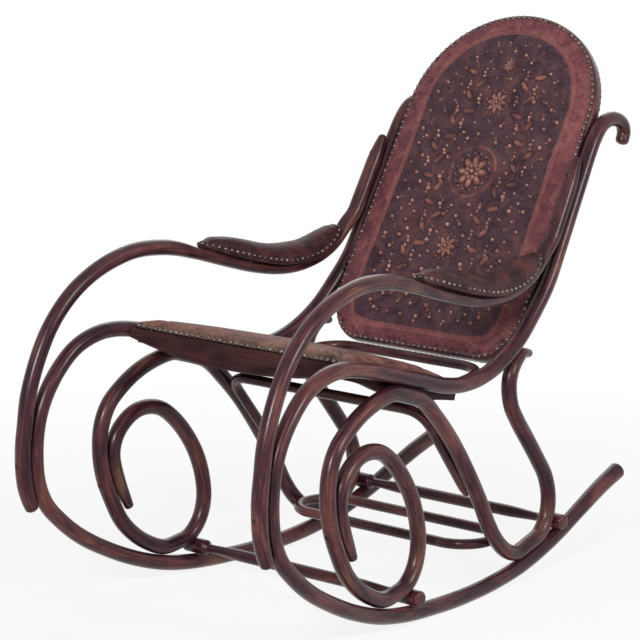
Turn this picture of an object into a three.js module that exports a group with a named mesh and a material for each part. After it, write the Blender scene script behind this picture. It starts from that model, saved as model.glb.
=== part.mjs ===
// Bentwood rocking chair: two planar side frames of bent rods, joined by cross rods,
// with a nailed leather seat, a round-topped leather back panel and padded arms.
// Millimetres, +Z up, +Y towards the back of the chair, +X to the sitter's left.
// The origin lies on the floor, midway between the side frames, below the flattest
// stretch of the rockers.

import * as THREE from "three";

// Driving dimensions

const chair = {
  frameDepth: 1120,      // side frame, front bend to rear rocker tip, along the rods' middles
  frameHeight: 860,      // side frame, rocker bottom to top of the crook, along the middles
  halfWidth: 264,        // chair middle to side frame middle, at the origin
  splay: 0.05,           // radians that each side frame turns in towards the back
  rodDiameter: 30,
  clearance: 0.3,        // left between pieces that touch
  rodSides: 12,
  rodTurn: 0.24,         // radians that a side rod bends from one facet to the next
  longestFacet: 70,      // length of a side rod's facets where it is nearly straight
};
const rodRadius = chair.rodDiameter / 2;
const rodSpacing = chair.rodDiameter + chair.clearance;

const colours = {
  wood: { color: 0x4a2a20, roughness: 0.35, metalness: 0 },
  darkWood: { color: 0x3a2019, roughness: 0.45, metalness: 0 },
  leather: { color: 0x6b3d36, roughness: 0.55, metalness: 0 },
  darkLeather: { color: 0x3c2a2a, roughness: 0.5, metalness: 0 },
  rawLeather: { color: 0x7a5a45, roughness: 0.8, metalness: 0 },
};

const group = new THREE.Group();

function addPiece(name, geometry, colour, parent = group) {
  const mesh = new THREE.Mesh(geometry, new THREE.MeshStandardMaterial(colours[colour]));
  mesh.name = name;
  parent.add(mesh);
  return mesh;
}

// Lofted solids

// A closed solid through rings of points that all have the same count. Without wrap, a
// fan to the middle of the first and last ring closes it; with wrap, the last ring
// joins the first.
function loft(rings, wrap = false) {
  const count = rings[0].length;
  const positions = rings.flat().flatMap((p) => [p.x, p.y, p.z]);
  const triangles = [];
  const spans = wrap ? rings.length : rings.length - 1;
  for (let i = 0; i < spans; i++) {
    const near = i * count;
    const far = ((i + 1) % rings.length) * count;
    for (let k = 0; k < count; k++) {
      const next = (k + 1) % count;
      triangles.push(near + k, near + next, far + next);
      triangles.push(near + k, far + next, far + k);
    }
  }
  if (!wrap) {
    for (const end of [0, rings.length - 1]) {
      const middle = new THREE.Vector3();
      rings[end].forEach((p) => middle.addScaledVector(p, 1 / count));
      const hub = positions.length / 3;
      positions.push(middle.x, middle.y, middle.z);
      for (let k = 0; k < count; k++) {
        const a = end * count + k;
        const b = end * count + ((k + 1) % count);
        triangles.push(...(end === 0 ? [hub, b, a] : [hub, a, b]));
      }
    }
  }
  const geometry = new THREE.BufferGeometry();
  geometry.setAttribute("position", new THREE.Float32BufferAttribute(positions, 3));
  geometry.setIndex(triangles);
  geometry.computeVertexNormals();
  return geometry;
}

// The unit direction of a path at one of its points.
function directionAt(path, i, wrap) {
  const last = path.length - 1;
  const before = wrap ? path[(i + last) % path.length] : path[Math.max(i - 1, 0)];
  const after = wrap ? path[(i + 1) % path.length] : path[Math.min(i + 1, last)];
  return after.clone().sub(before).normalize();
}

// A section carried along a path that bends in one plane. The section's points are
// [inside the plane, across the plane], and sizeAt scales them along the path. Where
// flatAt gives a height, the section is planed flat at that height.
const neverFlat = () => Infinity;
function carriedSection(path, across, section, sizeAt, wrap = false, flatAt = neverFlat) {
  const rings = path.map((middle, i) => {
    const inside = across.clone().cross(directionAt(path, i, wrap)).normalize();
    const size = sizeAt(i / (path.length - 1));
    return section.map(([u, v]) => middle.clone()
      .addScaledVector(inside, Math.min(u * size, flatAt(middle)))
      .addScaledVector(across, v * size));
  });
  return loft(rings, wrap);
}

function roundSection(radius, sides) {
  return Array.from({ length: sides }, (_, k) => {
    const angle = (2 * Math.PI * k) / sides;
    return [radius * Math.cos(angle), radius * Math.sin(angle)];
  });
}

// Rings of a rod's domed end: how far out and how wide, as shares of the end's radius.
const domeShares = [[0.35, 0.94], [0.75, 0.69], [1, 0.28]];

// A rod along a path, with domed ends that first thin down over a taper.
function bentRod(path, across, radius, ends, sides = chair.rodSides, flatAt = neverFlat) {
  const stations = path.slice();
  const lengths = [0];
  for (let i = 1; i < path.length; i++) {
    lengths.push(lengths[i - 1] + path[i].distanceTo(path[i - 1]));
  }
  const total = lengths[lengths.length - 1];
  const thin = (distance, end) => {
    const along = Math.min(distance / end.taper, 1);
    return end.tip + (1 - end.tip) * Math.sin((along * Math.PI) / 2);
  };
  const sizes = lengths.map((s) => thin(s, ends.start) * thin(total - s, ends.finish));
  const startWay = path[0].clone().sub(path[1]).normalize();
  const finishWay = path[path.length - 1].clone().sub(path[path.length - 2]).normalize();
  for (const [reach, width] of domeShares) {
    const startReach = radius * ends.start.tip * reach;
    const finishReach = radius * ends.finish.tip * reach;
    stations.unshift(path[0].clone().addScaledVector(startWay, startReach));
    sizes.unshift(ends.start.tip * width);
    stations.push(path[path.length - 1].clone().addScaledVector(finishWay, finishReach));
    sizes.push(ends.finish.tip * width);
  }
  const sizeAt = (share) => sizes[Math.round(share * (stations.length - 1))];
  return carriedSection(stations, across, roundSection(radius, sides), sizeAt, false, flatAt);
}

// Side frame curves, drawn in the frame's own plane: y to the back, z up

const frameNormal = new THREE.Vector3(1, 0, 0);

// Middles of the rods as shares of the frame's depth and height. A third entry names
// the rod that the point is bolted against.
const sideRailShares = [
  [0.537, 0.161], [0.483, 0.137], [0.42, 0.103], [0.358, 0.069], [0.296, 0.041],
  [0.223, 0.0175], [0.143, 0.0045], [0.0625, 0], [-0.018, 0.0025], [-0.098, 0.0105],
  [-0.162, 0.026], [-0.223, 0.052], [-0.284, 0.088], [-0.343, 0.132], [-0.3875, 0.179],
  [-0.418, 0.223], [-0.434, 0.273], [-0.4385, 0.331], [-0.434, 0.392], [-0.419, 0.449],
  [-0.39, 0.504], [-0.35, 0.549], [-0.3035, 0.571], [-0.259, 0.574], [-0.205, 0.562],
  [-0.1375, 0.538], [-0.057, 0.507], [0.009, 0.482], [0.0625, 0.472], [0.112, 0.476],
  [0.166, 0.496], [0.22, 0.535], [0.268, 0.59], [0.309, 0.649], [0.349, 0.738],
  [0.394, 0.84], [0.4286, 0.918], [0.446, 0.951], [0.465, 0.975], [0.489, 0.985],
  [0.514, 0.982], [0.532, 0.969], [0.538, 0.95], [0.533, 0.932],
];
const armShares = [
  [-0.447, 0.224, "rail"], [-0.456, 0.2756, "rail"], [-0.463, 0.337, "rail"],
  [-0.461, 0.402, "rail"], [-0.452, 0.465], [-0.43, 0.542], [-0.4, 0.609],
  [-0.357, 0.666], [-0.308, 0.7047], [-0.2545, 0.729], [-0.205, 0.739], [-0.138, 0.733],
  [-0.0714, 0.7125], [0, 0.684], [0.067, 0.6595], [0.125, 0.6455], [0.1786, 0.6445],
  [0.2277, 0.6575], [0.2634, 0.6805], [0.291, 0.7115], [0.316, 0.75, "rail"],
  [0.344, 0.802, "rail"], [0.368, 0.85, "rail"], [0.392, 0.905, "rail"],
];
const innerCoilShares = [
  [-0.2375, 0.172, "coil"], [-0.259, 0.2407, "coil"], [-0.27, 0.291, "coil"],
  [-0.265, 0.327], [-0.25, 0.356], [-0.223, 0.38], [-0.1946, 0.387], [-0.1607, 0.378],
  [-0.1295, 0.349], [-0.098, 0.302], [-0.075, 0.25], [-0.0616, 0.192], [-0.06, 0.145],
  [-0.0714, 0.102], [-0.0946, 0.072],
];
const outerCoilShares = [
  [-0.124, 0.0625], [-0.155, 0.0608, "rail"], [-0.188, 0.0765], [-0.221, 0.104],
  [-0.252, 0.145], [-0.275, 0.2], [-0.291, 0.2523], [-0.298, 0.308], [-0.294, 0.366],
  [-0.277, 0.4116], [-0.2455, 0.4465], [-0.2107, 0.472], [-0.1696, 0.4895],
  [-0.125, 0.493, "rail"], [-0.085, 0.484, "rail"], [-0.049, 0.4616], [-0.0134, 0.42],
  [0.034, 0.352], [0.0714, 0.286], [0.11, 0.209], [0.139, 0.141], [0.1634, 0.099],
  [0.1946, 0.066], [0.225, 0.0535, "rail"], [0.259, 0.058, "rail"], [0.29, 0.076],
  [0.3125, 0.11], [0.3188, 0.156], [0.308, 0.207], [0.283, 0.2535], [0.25, 0.308],
  [0.2196, 0.358], [0.2018, 0.395], [0.1955, 0.436], [0.2, 0.465], [0.214, 0.488, "rail"],
  [0.234, 0.503], [0.252, 0.5],
];

function placed([depthShare, heightShare]) {
  return new THREE.Vector3(0, depthShare * chair.frameDepth,
    heightShare * chair.frameHeight + rodRadius);
}

// The nearest place on a path made of straight spans.
function nearestOn(path, point) {
  let best = null;
  const span = new THREE.Line3();
  const candidate = new THREE.Vector3();
  for (let i = 0; i + 1 < path.length; i++) {
    span.set(path[i], path[i + 1]).closestPointToPoint(point, true, candidate);
    if (!best || candidate.distanceTo(point) < best.distanceTo(point)) best = candidate.clone();
  }
  return best;
}

// A point moved to lie one spacing away from a path, on the side where it already is.
function heldAt(point, path, spacing) {
  const foot = nearestOn(path, point);
  return foot.clone().add(point.clone().sub(foot).setLength(spacing));
}

// Spans of a smooth curve through the points: short where it bends, long where it is
// nearly straight.
const fineSpansPerPoint = 16;
function bendPath(points) {
  const curve = new THREE.CatmullRomCurve3(points, false, "centripetal");
  const fine = curve.getSpacedPoints(points.length * fineSpansPerPoint);
  const path = [fine[0]];
  let turned = 0;
  for (let i = 1; i + 1 < fine.length; i++) {
    const before = fine[i].clone().sub(fine[i - 1]);
    turned += before.angleTo(fine[i + 1].clone().sub(fine[i]));
    const span = fine[i].distanceTo(path[path.length - 1]);
    if (turned > chair.rodTurn || span > chair.longestFacet) {
      path.push(fine[i]);
      turned = 0;
    }
  }
  path.push(fine[fine.length - 1]);
  return path;
}

// A path whose spans all stay one spacing clear of another path, seen from both sides.
const clearingRounds = 6;
function keptClear(path, other, spacing) {
  const moved = path.map((p) => p.clone());
  for (let round = 0; round < clearingRounds; round++) {
    moved.forEach((p, i) => {
      const foot = nearestOn(other, p);
      if (foot.distanceTo(p) < spacing) moved[i] = heldAt(p, other, spacing);
    });
    for (let i = 0; i + 1 < moved.length; i++) {
      const span = new THREE.Line3(moved[i], moved[i + 1]);
      for (const corner of other) {
        const foot = span.closestPointToPoint(corner, true, new THREE.Vector3());
        const lacking = spacing - foot.distanceTo(corner);
        if (lacking <= 0) continue;
        const push = foot.clone().sub(corner).setLength(lacking);
        moved[i].add(push);
        moved[i + 1].add(push);
      }
    }
  }
  return moved;
}

const railPath = bendPath(sideRailShares.map(placed));

// A rod's points, each one that is bolted against the named rod held at one spacing.
function boltedPoints(shares, against) {
  return shares.map((entry) => {
    const point = placed(entry);
    const path = against[entry[2]];
    return path ? heldAt(point, path, rodSpacing) : point;
  });
}

const armPath = keptClear(
  bendPath(boltedPoints(armShares, { rail: railPath })), railPath, rodSpacing);
const outerPoints = boltedPoints(outerCoilShares, { rail: railPath });
const innerPoints = boltedPoints(innerCoilShares, { coil: bendPath(outerPoints) });
const scrollPath = keptClear(
  bendPath([...innerPoints, ...outerPoints]), railPath, rodSpacing);

// The inner end of the scroll, up to the top of the small coil, is held off the coil
// around it, which starts at the lowest point.
const coilTop = innerPoints[6];
const innerCount = scrollPath.findIndex((p) => p.distanceTo(coilTop) < chair.rodDiameter);
const coilStart = scrollPath.findIndex((p, i) =>
  i > innerCount && p.z < coilTop.z / 2 && p.y < outerPoints[2].y);
const innerEnd = keptClear(
  scrollPath.slice(0, innerCount), scrollPath.slice(coilStart), rodSpacing);
scrollPath.splice(0, innerCount, ...innerEnd);

// Arm pads' sizes: each arm is planed flat to carry its pad, and its path gets a corner
// at each end of the pad

const pad = {
  startY: -80,
  endY: 320,
  flatHeight: 5,         // flat on the arm above the rod's middle
  flatBeyond: 24,        // length of the flat past the pad's ends
  halfWidth: 35,
  baseHalfWidth: 25,
  baseThickness: 4,
  height: 37,
  endHeight: 24,
  around: 16,
};
for (const y of [pad.startY, pad.endY]) {
  const i = armPath.findIndex((p) => p.z > chair.frameHeight / 2 && p.y > y);
  const [before, after] = [armPath[i - 1], armPath[i]];
  const end = before.clone().lerp(after, (y - before.y) / (after.y - before.y));
  end.y = y;
  armPath.splice(i, 0, end);
}
function armFlatAt(middle) {
  const beyond = pad.flatBeyond;
  const under = middle.y > pad.startY - beyond && middle.y < pad.endY + beyond;
  return under && middle.z > chair.frameHeight / 2 ? pad.flatHeight : Infinity;
}

// Side frames

const rodEnds = {
  rail: { start: { tip: 0.8, taper: 160 }, finish: { tip: 0.75, taper: 150 } },
  arm: { start: { tip: 0.6, taper: 60 }, finish: { tip: 0.6, taper: 60 } },
  scroll: { start: { tip: 0.55, taper: 70 }, finish: { tip: 0.55, taper: 80 } },
};
const sides = [
  { name: "left", sign: 1 },
  { name: "right", sign: -1 },
];
for (const { name, sign } of sides) {
  const frame = new THREE.Group();
  frame.position.x = sign * chair.halfWidth;
  frame.rotation.z = sign * chair.splay;
  group.add(frame);
  addPiece(`side_rail_${name}`, bentRod(railPath, frameNormal, rodRadius, rodEnds.rail),
    "wood", frame);
  addPiece(`arm_rod_${name}`, bentRod(armPath, frameNormal, rodRadius, rodEnds.arm,
    chair.rodSides, armFlatAt), "wood", frame);
  addPiece(`scroll_rod_${name}`, bentRod(scrollPath, frameNormal, rodRadius, rodEnds.scroll),
    "wood", frame);
}

// Distance from the chair's middle to a side frame's middle, at a place along the chair.
function halfWidthAt(y) {
  return chair.halfWidth - y * Math.tan(chair.splay);
}

// A place in the frame's plane as it lies along the chair once the frame is turned.
function turnedIn(point) {
  return new THREE.Vector3(0, point.y * Math.cos(chair.splay), point.z);
}

const railLine = railPath.map(turnedIn);
const scrollLine = scrollPath.map(turnedIn);

// Cross stretchers: each end sits in the notch between a scroll loop and the rocker

const stretcher = {
  endRadius: 15,
  neckRadius: 8.5,
  middleRadius: 11.5,
  overhang: 26,          // end past the side frame's middle
  endLength: 58,
  edgeRound: 6,
  swellShare: 0.6,       // of the way from neck to middle that is still swelling
  sides: 14,
  notchShares: { front: [-0.083, 0.041], rear: [0.345, 0.105] },
};

// The middle of a round piece that lies against two paths at once.
const settlingRounds = 60;
function notchMiddle(shares, reach) {
  let middle = placed(shares);
  for (let round = 0; round < settlingRounds; round++) {
    middle = heldAt(middle, railLine, reach);
    middle = heldAt(middle, scrollLine, reach);
  }
  return middle;
}

function stretcherRod(y) {
  const half = halfWidthAt(y) + stretcher.overhang;
  const neckAt = half - stretcher.endLength;
  const swellAt = neckAt * stretcher.swellShare;
  const round = stretcher.edgeRound;
  const edge = [0, Math.PI / 4, Math.PI / 2].map((angle) => [
    half - round * (1 - Math.cos(angle)),
    stretcher.endRadius - round * (1 - Math.sin(angle)),
  ]);
  const profile = [
    ...edge, [neckAt + round, stretcher.endRadius], [neckAt - round, stretcher.neckRadius],
    [swellAt, stretcher.middleRadius], [0, stretcher.middleRadius],
  ];
  const mirrored = profile.slice(0, -1).reverse().map(([x, r]) => [-x, r]);
  const rings = [...profile, ...mirrored].reverse().map(([x, radius]) =>
    roundSection(radius, stretcher.sides).map(([u, v]) => new THREE.Vector3(x, u, v)));
  return loft(rings);
}
for (const [place, shares] of Object.entries(stretcher.notchShares)) {
  const reach = rodRadius + stretcher.endRadius + chair.clearance;
  const middle = notchMiddle(shares, reach);
  const rod = addPiece(`${place}_stretcher`, stretcherRod(middle.y), "wood");
  rod.position.copy(middle);
}

// Seat place: its top lies close to the side rails' middles, so it falls back with them

const seat = {
  frontY: -270,
  rearY: 73,
  frontRise: 6,          // top of the frame above the rails' middles, at the front edge
  rearDrop: 8,           // and below them at the rear edge
  boardThickness: 18,
  frontRailThickness: 26,
  frontRailEdge: 18,     // height of the front rail at its ends
  frontRailBelly: 46,    // height of the front rail at its middle
  sideFrontHeight: 38,
  sideRearHeight: 25,
  deckThickness: 8,
  padThickness: 25,
  padCrown: 8,
  padInset: 4,           // pad's side edge inside the rods that flank it
  padCorner: 14,         // how far the pad's corners are drawn in
  channelDepth: 2.2,
  channelWidth: 6.6,
  channelInset: 42,
};

// The height where a side rail passes a place along the chair, on its way back under the
// seat and up as the back post.
const railFront = railLine.reduce((best, p, i) => (p.y < railLine[best].y ? i : best), 0);
function sideRailHeight(y) {
  const i = railLine.findIndex((p, k) => k >= railFront && p.y < y && railLine[k + 1].y >= y);
  const [a, b] = [railLine[i], railLine[i + 1]];
  return THREE.MathUtils.mapLinear(y, a.y, b.y, a.z, b.z);
}
const seatFront = new THREE.Vector3(0, seat.frontY, sideRailHeight(seat.frontY) + seat.frontRise);
const seatRear = new THREE.Vector3(0, seat.rearY, sideRailHeight(seat.rearY) - seat.rearDrop);
const seatDepth = seatFront.distanceTo(seatRear);
const seatTilt = Math.asin((seatFront.z - seatRear.z) / seatDepth);
const seatGroup = new THREE.Group();
seatGroup.position.copy(seatFront);
seatGroup.rotation.x = -seatTilt;
group.add(seatGroup);

// The height of the seat frame's top at a place along the chair.
function seatTopAt(y) {
  return THREE.MathUtils.mapLinear(y, seatFront.y, seatRear.y, seatFront.z, seatRear.z);
}

// Ring stretcher: a flat bent oval between the two scrolls, ahead of the rear loops

const ring = { radius: 10, halfDepth: 64, height: 92, sides: 8, step: 30 };

// Where the scroll's falling arm first comes down through a height, which may change
// along the chair.
const archTop = scrollLine.reduce(
  (best, p, i) => (p.y < 0 && p.z > scrollLine[best].z ? i : best), 0);
function placeOnScroll(heightAt) {
  const above = (p) => p.z - heightAt(p.y);
  const i = scrollLine.findIndex((p, k) =>
    k >= archTop && above(p) >= 0 && above(scrollLine[k + 1]) < 0);
  const [a, b] = [scrollLine[i], scrollLine[i + 1]];
  return a.clone().lerp(b, above(a) / (above(a) - above(b)));
}
const ringMiddle = placeOnScroll(() => ring.height);
const ringHalf = halfWidthAt(ringMiddle.y) - rodRadius - ring.radius - chair.clearance;
function ovalPath() {
  const straight = ringHalf - ring.halfDepth;
  const oval = new THREE.Path();
  oval.absarc(straight, 0, ring.halfDepth, 0, Math.PI / 2, false);
  oval.absarc(-straight, 0, ring.halfDepth, Math.PI / 2, (3 * Math.PI) / 2, false);
  oval.absarc(straight, 0, ring.halfDepth, -Math.PI / 2, 0, false);
  // An even count puts a point at each end of the oval, where it lies against a scroll.
  const count = 2 * Math.round(oval.getLength() / ring.step / 2);
  return oval.getSpacedPoints(count).slice(0, -1).map((p) => new THREE.Vector3(p.x, p.y, 0));
}
const up = new THREE.Vector3(0, 0, 1);
const ringRod = addPiece("ring_stretcher",
  carriedSection(ovalPath(), up, roundSection(ring.radius, ring.sides), () => 1, true), "wood");
ringRod.position.copy(ringMiddle);

// Seat brace: an upturned U under the seat, its legs bolted inside the scrolls

const brace = { radius: 10, bend: 48, belowSeat: 58, footHeight: 203, sides: 8, step: 26 };
const braceTop = placeOnScroll((y) => seatTopAt(y) - brace.belowSeat);
const braceFoot = placeOnScroll(() => brace.footHeight);
const sideGap = rodRadius + brace.radius + chair.clearance;

// A U of rod: two legs joined by a straight back with rounded corners.
function bowPath(leftFoot, leftCorner, bend, step) {
  const mirror = (p) => new THREE.Vector3(-p.x, p.y, p.z);
  const leg = leftFoot.clone().sub(leftCorner).normalize();
  const inward = mirror(leftCorner).sub(leftCorner).normalize();
  const onLeg = leftCorner.clone().addScaledVector(leg, bend);
  const onBack = leftCorner.clone().addScaledVector(inward, bend);
  const path = new THREE.CurvePath();
  path.add(new THREE.LineCurve3(leftFoot, onLeg));
  path.add(new THREE.QuadraticBezierCurve3(onLeg, leftCorner, onBack));
  path.add(new THREE.LineCurve3(onBack, mirror(onBack)));
  path.add(new THREE.QuadraticBezierCurve3(mirror(onBack), mirror(leftCorner), mirror(onLeg)));
  path.add(new THREE.LineCurve3(mirror(onLeg), mirror(leftFoot)));
  return path.getSpacedPoints(Math.round(path.getLength() / step));
}
function legPlace(place) {
  return new THREE.Vector3(halfWidthAt(place.y) - sideGap, place.y, place.z);
}
const bluntEnds = { start: { tip: 0.8, taper: 25 }, finish: { tip: 0.8, taper: 25 } };
const bracePath = bowPath(legPlace(braceFoot), legPlace(braceTop), brace.bend, brace.step);
const braceSlope = braceTop.clone().sub(braceFoot).normalize();
const braceNormal = new THREE.Vector3(1, 0, 0).cross(braceSlope).normalize();
addPiece("seat_brace",
  bentRod(bracePath, braceNormal, brace.radius, bluntEnds, brace.sides), "wood");

// Seat frame: built level along its own depth, inside the tilted group

// Half the seat's width between the side rails, at a depth from its front edge.
function seatHalf(depth) {
  return halfWidthAt(seat.frontY + depth * Math.cos(seatTilt)) - rodRadius - chair.clearance;
}

// A board drawn as an outline and given a thickness across it.
function board(outline, thickness) {
  const shape = new THREE.Shape(outline.map(([a, b]) => new THREE.Vector2(a, b)));
  return new THREE.ExtrudeGeometry(shape, { depth: thickness, bevelEnabled: false, steps: 1 });
}

// Side boards: deep behind the front rail, thinning to the square-cut rear end. The lower
// edge is in shares of the board's length and of its greatest fall.
const sideBoardShares = [
  [0.12, 0.1], [0.25, 0.6], [0.4, 1], [0.6, 0.95], [0.75, 0.6], [0.88, 0.25],
];
function sideBoard() {
  const fall = seat.sideFrontHeight - seat.sideRearHeight;
  const start = seat.frontRailThickness + chair.clearance;
  const length = seatDepth - start;
  const lower = sideBoardShares.map(([along, share]) =>
    [start + length * along, -(seat.sideRearHeight + fall * share)]);
  return board([
    [start, 0], [start, -seat.sideRearHeight], ...lower,
    [seatDepth, -seat.sideRearHeight], [seatDepth, 0],
  ], seat.boardThickness);
}
for (const { name, sign } of sides) {
  const boardMesh = addPiece(`seat_side_${name}`, sideBoard(), "darkWood", seatGroup);
  // Turned so that the outline runs along the seat and its face follows the side rail.
  const outer = seatHalf(0);
  const along = new THREE.Vector3(-sign * Math.tan(chair.splay) * Math.cos(seatTilt), 1, 0);
  const basis = new THREE.Matrix4().makeBasis(along.normalize(), up,
    along.clone().cross(up));
  boardMesh.quaternion.setFromRotationMatrix(basis);
  boardMesh.position.x = sign > 0 ? outer - seat.boardThickness : -outer;
  boardMesh.position.y = sign > 0 ? 0 : seat.boardThickness * Math.tan(chair.splay);
}

// Front rail: a board whose lower edge bellies down to the middle.
function frontRail() {
  const half = seatHalf(seat.frontRailThickness);
  const belly = seat.frontRailBelly - seat.frontRailEdge;
  const lowerShares = [-1, -0.8, -0.6, -0.35, 0, 0.35, 0.6, 0.8, 1];
  const lower = lowerShares.map((share) =>
    [half * share, -seat.frontRailEdge - belly * (1 - share * share)]);
  return board([...lower, [half, 0], [-half, 0]], seat.frontRailThickness);
}
const frontRailMesh = addPiece("seat_front_rail", frontRail(), "wood", seatGroup);
frontRailMesh.rotation.x = Math.PI / 2;
frontRailMesh.position.y = seat.frontRailThickness;

// Rear rail and deck, held between the side boards.
function innerHalf(depth) {
  return seatHalf(depth) - seat.boardThickness - 2 * chair.clearance;
}
const rearRailStart = seatDepth - seat.boardThickness;
const rearRail = addPiece("seat_rear_rail",
  new THREE.BoxGeometry(2 * innerHalf(seatDepth), seat.boardThickness, seat.sideRearHeight),
  "darkWood", seatGroup);
rearRail.position.set(0, rearRailStart + seat.boardThickness / 2, -seat.sideRearHeight / 2);
const deckStart = seat.frontRailThickness + chair.clearance;
const deckEnd = rearRailStart - chair.clearance;
const deck = addPiece("seat_deck", board([
  [-innerHalf(deckStart), deckStart], [innerHalf(deckStart), deckStart],
  [innerHalf(deckEnd), deckEnd], [-innerHalf(deckEnd), deckEnd],
], seat.deckThickness), "darkWood", seatGroup);
deck.position.z = -seat.deckThickness;

// A rounded rise from zero at both ends of a length: a smaller power makes it squarer.
function bulge(share, power) {
  const endShare = 0.02;
  const inside = Math.min(Math.max(share, endShare), 1 - endShare);
  return Math.pow(Math.sin(Math.PI * inside), power);
}

// Sine or cosine made squarer, for the rounded sections of the pads.
function squared(value, power) {
  return Math.sign(value) * Math.pow(Math.abs(value), power);
}

// Seat pad: leather over stuffing, crowned, with drawn-in sides and one sewn channel
// that runs round the top inside the edge.
function seatPad() {
  const across = 34;
  const lengthwise = 26;
  const rings = [];
  for (let i = 0; i <= lengthwise; i++) {
    const along = i / lengthwise;
    const depth = seatDepth * along;
    const rise = bulge(along, 0.35);
    const half = seatHalf(depth) - seat.padInset - seat.padCorner * (1 - rise);
    const ring = [];
    for (let k = 0; k < across; k++) {
      const angle = (2 * Math.PI * k) / across;
      const side = squared(Math.cos(angle), 0.35);
      const high = Math.max(squared(Math.sin(angle), 0.45), 0);
      const crown = seat.padCrown * Math.sin(Math.PI * along) * (1 - side * side);
      const edge = Math.min(half - Math.abs(half * side), depth, seatDepth - depth);
      const seam = Math.exp(-Math.pow((edge - seat.channelInset) / seat.channelWidth, 2));
      const top = (seat.padThickness * rise + crown - seat.channelDepth * seam) * high;
      ring.push(new THREE.Vector3(half * side, depth, chair.clearance + top));
    }
    rings.push(ring);
  }
  return loft(rings.reverse());
}
addPiece("seat_pad", seatPad(), "leather", seatGroup);

// Back panel: a bent rim between the posts, with nailed leather on both faces

const panel = {
  lowY: 350,             // two places along the posts, whose line the panel leans along
  highY: 480,
  foot: 317,             // panel foot below their middle, along the panel
  shoulder: 192,         // start of the round top above it
  topRise: 208,
  cornerWidth: 82,
  cornerHeight: 118,
  rimWidth: 19,
  rimThickness: 24,
  rimBevel: 4,
  leatherInset: 2,       // leather's edge inside the rim's outer edge
  leatherThickness: 2.5,
  frontCrown: 9,
  outlineCount: 64,
};
const postLow = new THREE.Vector3(0, panel.lowY, sideRailHeight(panel.lowY));
const postHigh = new THREE.Vector3(0, panel.highY, sideRailHeight(panel.highY));
const panelLean = Math.atan2(postHigh.y - postLow.y, postHigh.z - postLow.z);
const panelGroup = new THREE.Group();
panelGroup.position.copy(postLow).lerp(postHigh, 1 / 2);
panelGroup.rotation.x = Math.PI / 2 - panelLean;
group.add(panelGroup);

// Half the panel's width between the posts, at a place up the panel.
function panelHalf(upward, inset) {
  const y = panelGroup.position.y + upward * Math.sin(panelLean);
  return halfWidthAt(y) - rodRadius - chair.clearance - inset;
}

// The panel's outline, drawn in from its edge by an inset: x across, y up the panel.
function panelOutline(inset) {
  const shoulderHalf = panelHalf(panel.shoulder, inset);
  const cornerTop = -panel.foot + panel.cornerHeight;
  const cornerHalf = panelHalf(cornerTop, inset);
  const width = panel.cornerWidth - inset;
  const height = panel.cornerHeight - inset;
  const outline = new THREE.Path();
  outline.absellipse(cornerHalf - width, cornerTop, width, height, -Math.PI / 2, 0, false, 0);
  outline.lineTo(shoulderHalf, panel.shoulder);
  outline.absellipse(0, panel.shoulder, shoulderHalf, panel.topRise - inset, 0, Math.PI,
    false, 0);
  outline.lineTo(-cornerHalf, cornerTop);
  outline.absellipse(-cornerHalf + width, cornerTop, width, height, Math.PI, 1.5 * Math.PI,
    false, 0);
  outline.closePath();
  return outline.getSpacedPoints(panel.outlineCount).slice(0, -1)
    .map((p) => new THREE.Vector3(p.x, p.y, 0));
}
function rimSection() {
  const u = panel.rimWidth / 2;
  const v = panel.rimThickness / 2;
  const cut = panel.rimBevel;
  return [[u, -v + cut], [u, v - cut], [u - cut, v], [-u + cut, v], [-u, v - cut],
    [-u, -v + cut], [-u + cut, -v], [u - cut, -v]];
}
addPiece("back_rim", carriedSection(
  panelOutline(panel.rimWidth / 2), up, rimSection(), () => 1, true), "wood", panelGroup);

// A leather sheet over the panel, crowned by its stuffing: rings of the outline drawn in
// to the middle, an outer face and an inner face.
function leatherSheet(crown) {
  const edge = panelOutline(panel.leatherInset);
  const middle = new THREE.Vector3(0, (panel.shoulder - panel.foot) / 2, 0);
  const ringShares = [0.06, 0.3, 0.6, 0.82, 0.94, 1];
  const ringAt = (share, lift) => edge.map((p) => {
    const q = middle.clone().lerp(p, share);
    q.z = lift;
    return q;
  });
  const outer = ringShares.map((share) =>
    ringAt(share, panel.leatherThickness + crown * Math.sqrt(1 - Math.pow(share, 4))));
  const inner = ringShares.map((share) => ringAt(share, 0));
  return loft([...inner, ...outer.reverse()]);
}
const frontLeather = addPiece("back_leather_front", leatherSheet(panel.frontCrown), "leather",
  panelGroup);
frontLeather.position.z = panel.rimThickness / 2 + chair.clearance;
const rearLeather = addPiece("back_leather_rear", leatherSheet(panel.leatherThickness),
  "rawLeather", panelGroup);
rearLeather.rotation.y = Math.PI;
rearLeather.position.z = -panel.rimThickness / 2 - chair.clearance;

// Rear bow: a rod behind the seat that carries the foot of the back panel

const bow = {
  radius: 9.5,
  bend: 75,
  aheadOfPanel: 28,      // its back bar from the middle of the panel's foot
  belowPanel: 5,
  inset: 26,
  sides: 8,
  step: 26,
};
const bowBack = new THREE.Vector3(0, -panel.foot, 0)
  .applyEuler(panelGroup.rotation).add(panelGroup.position)
  .sub(new THREE.Vector3(0, bow.aheadOfPanel, bow.belowPanel));
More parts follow.
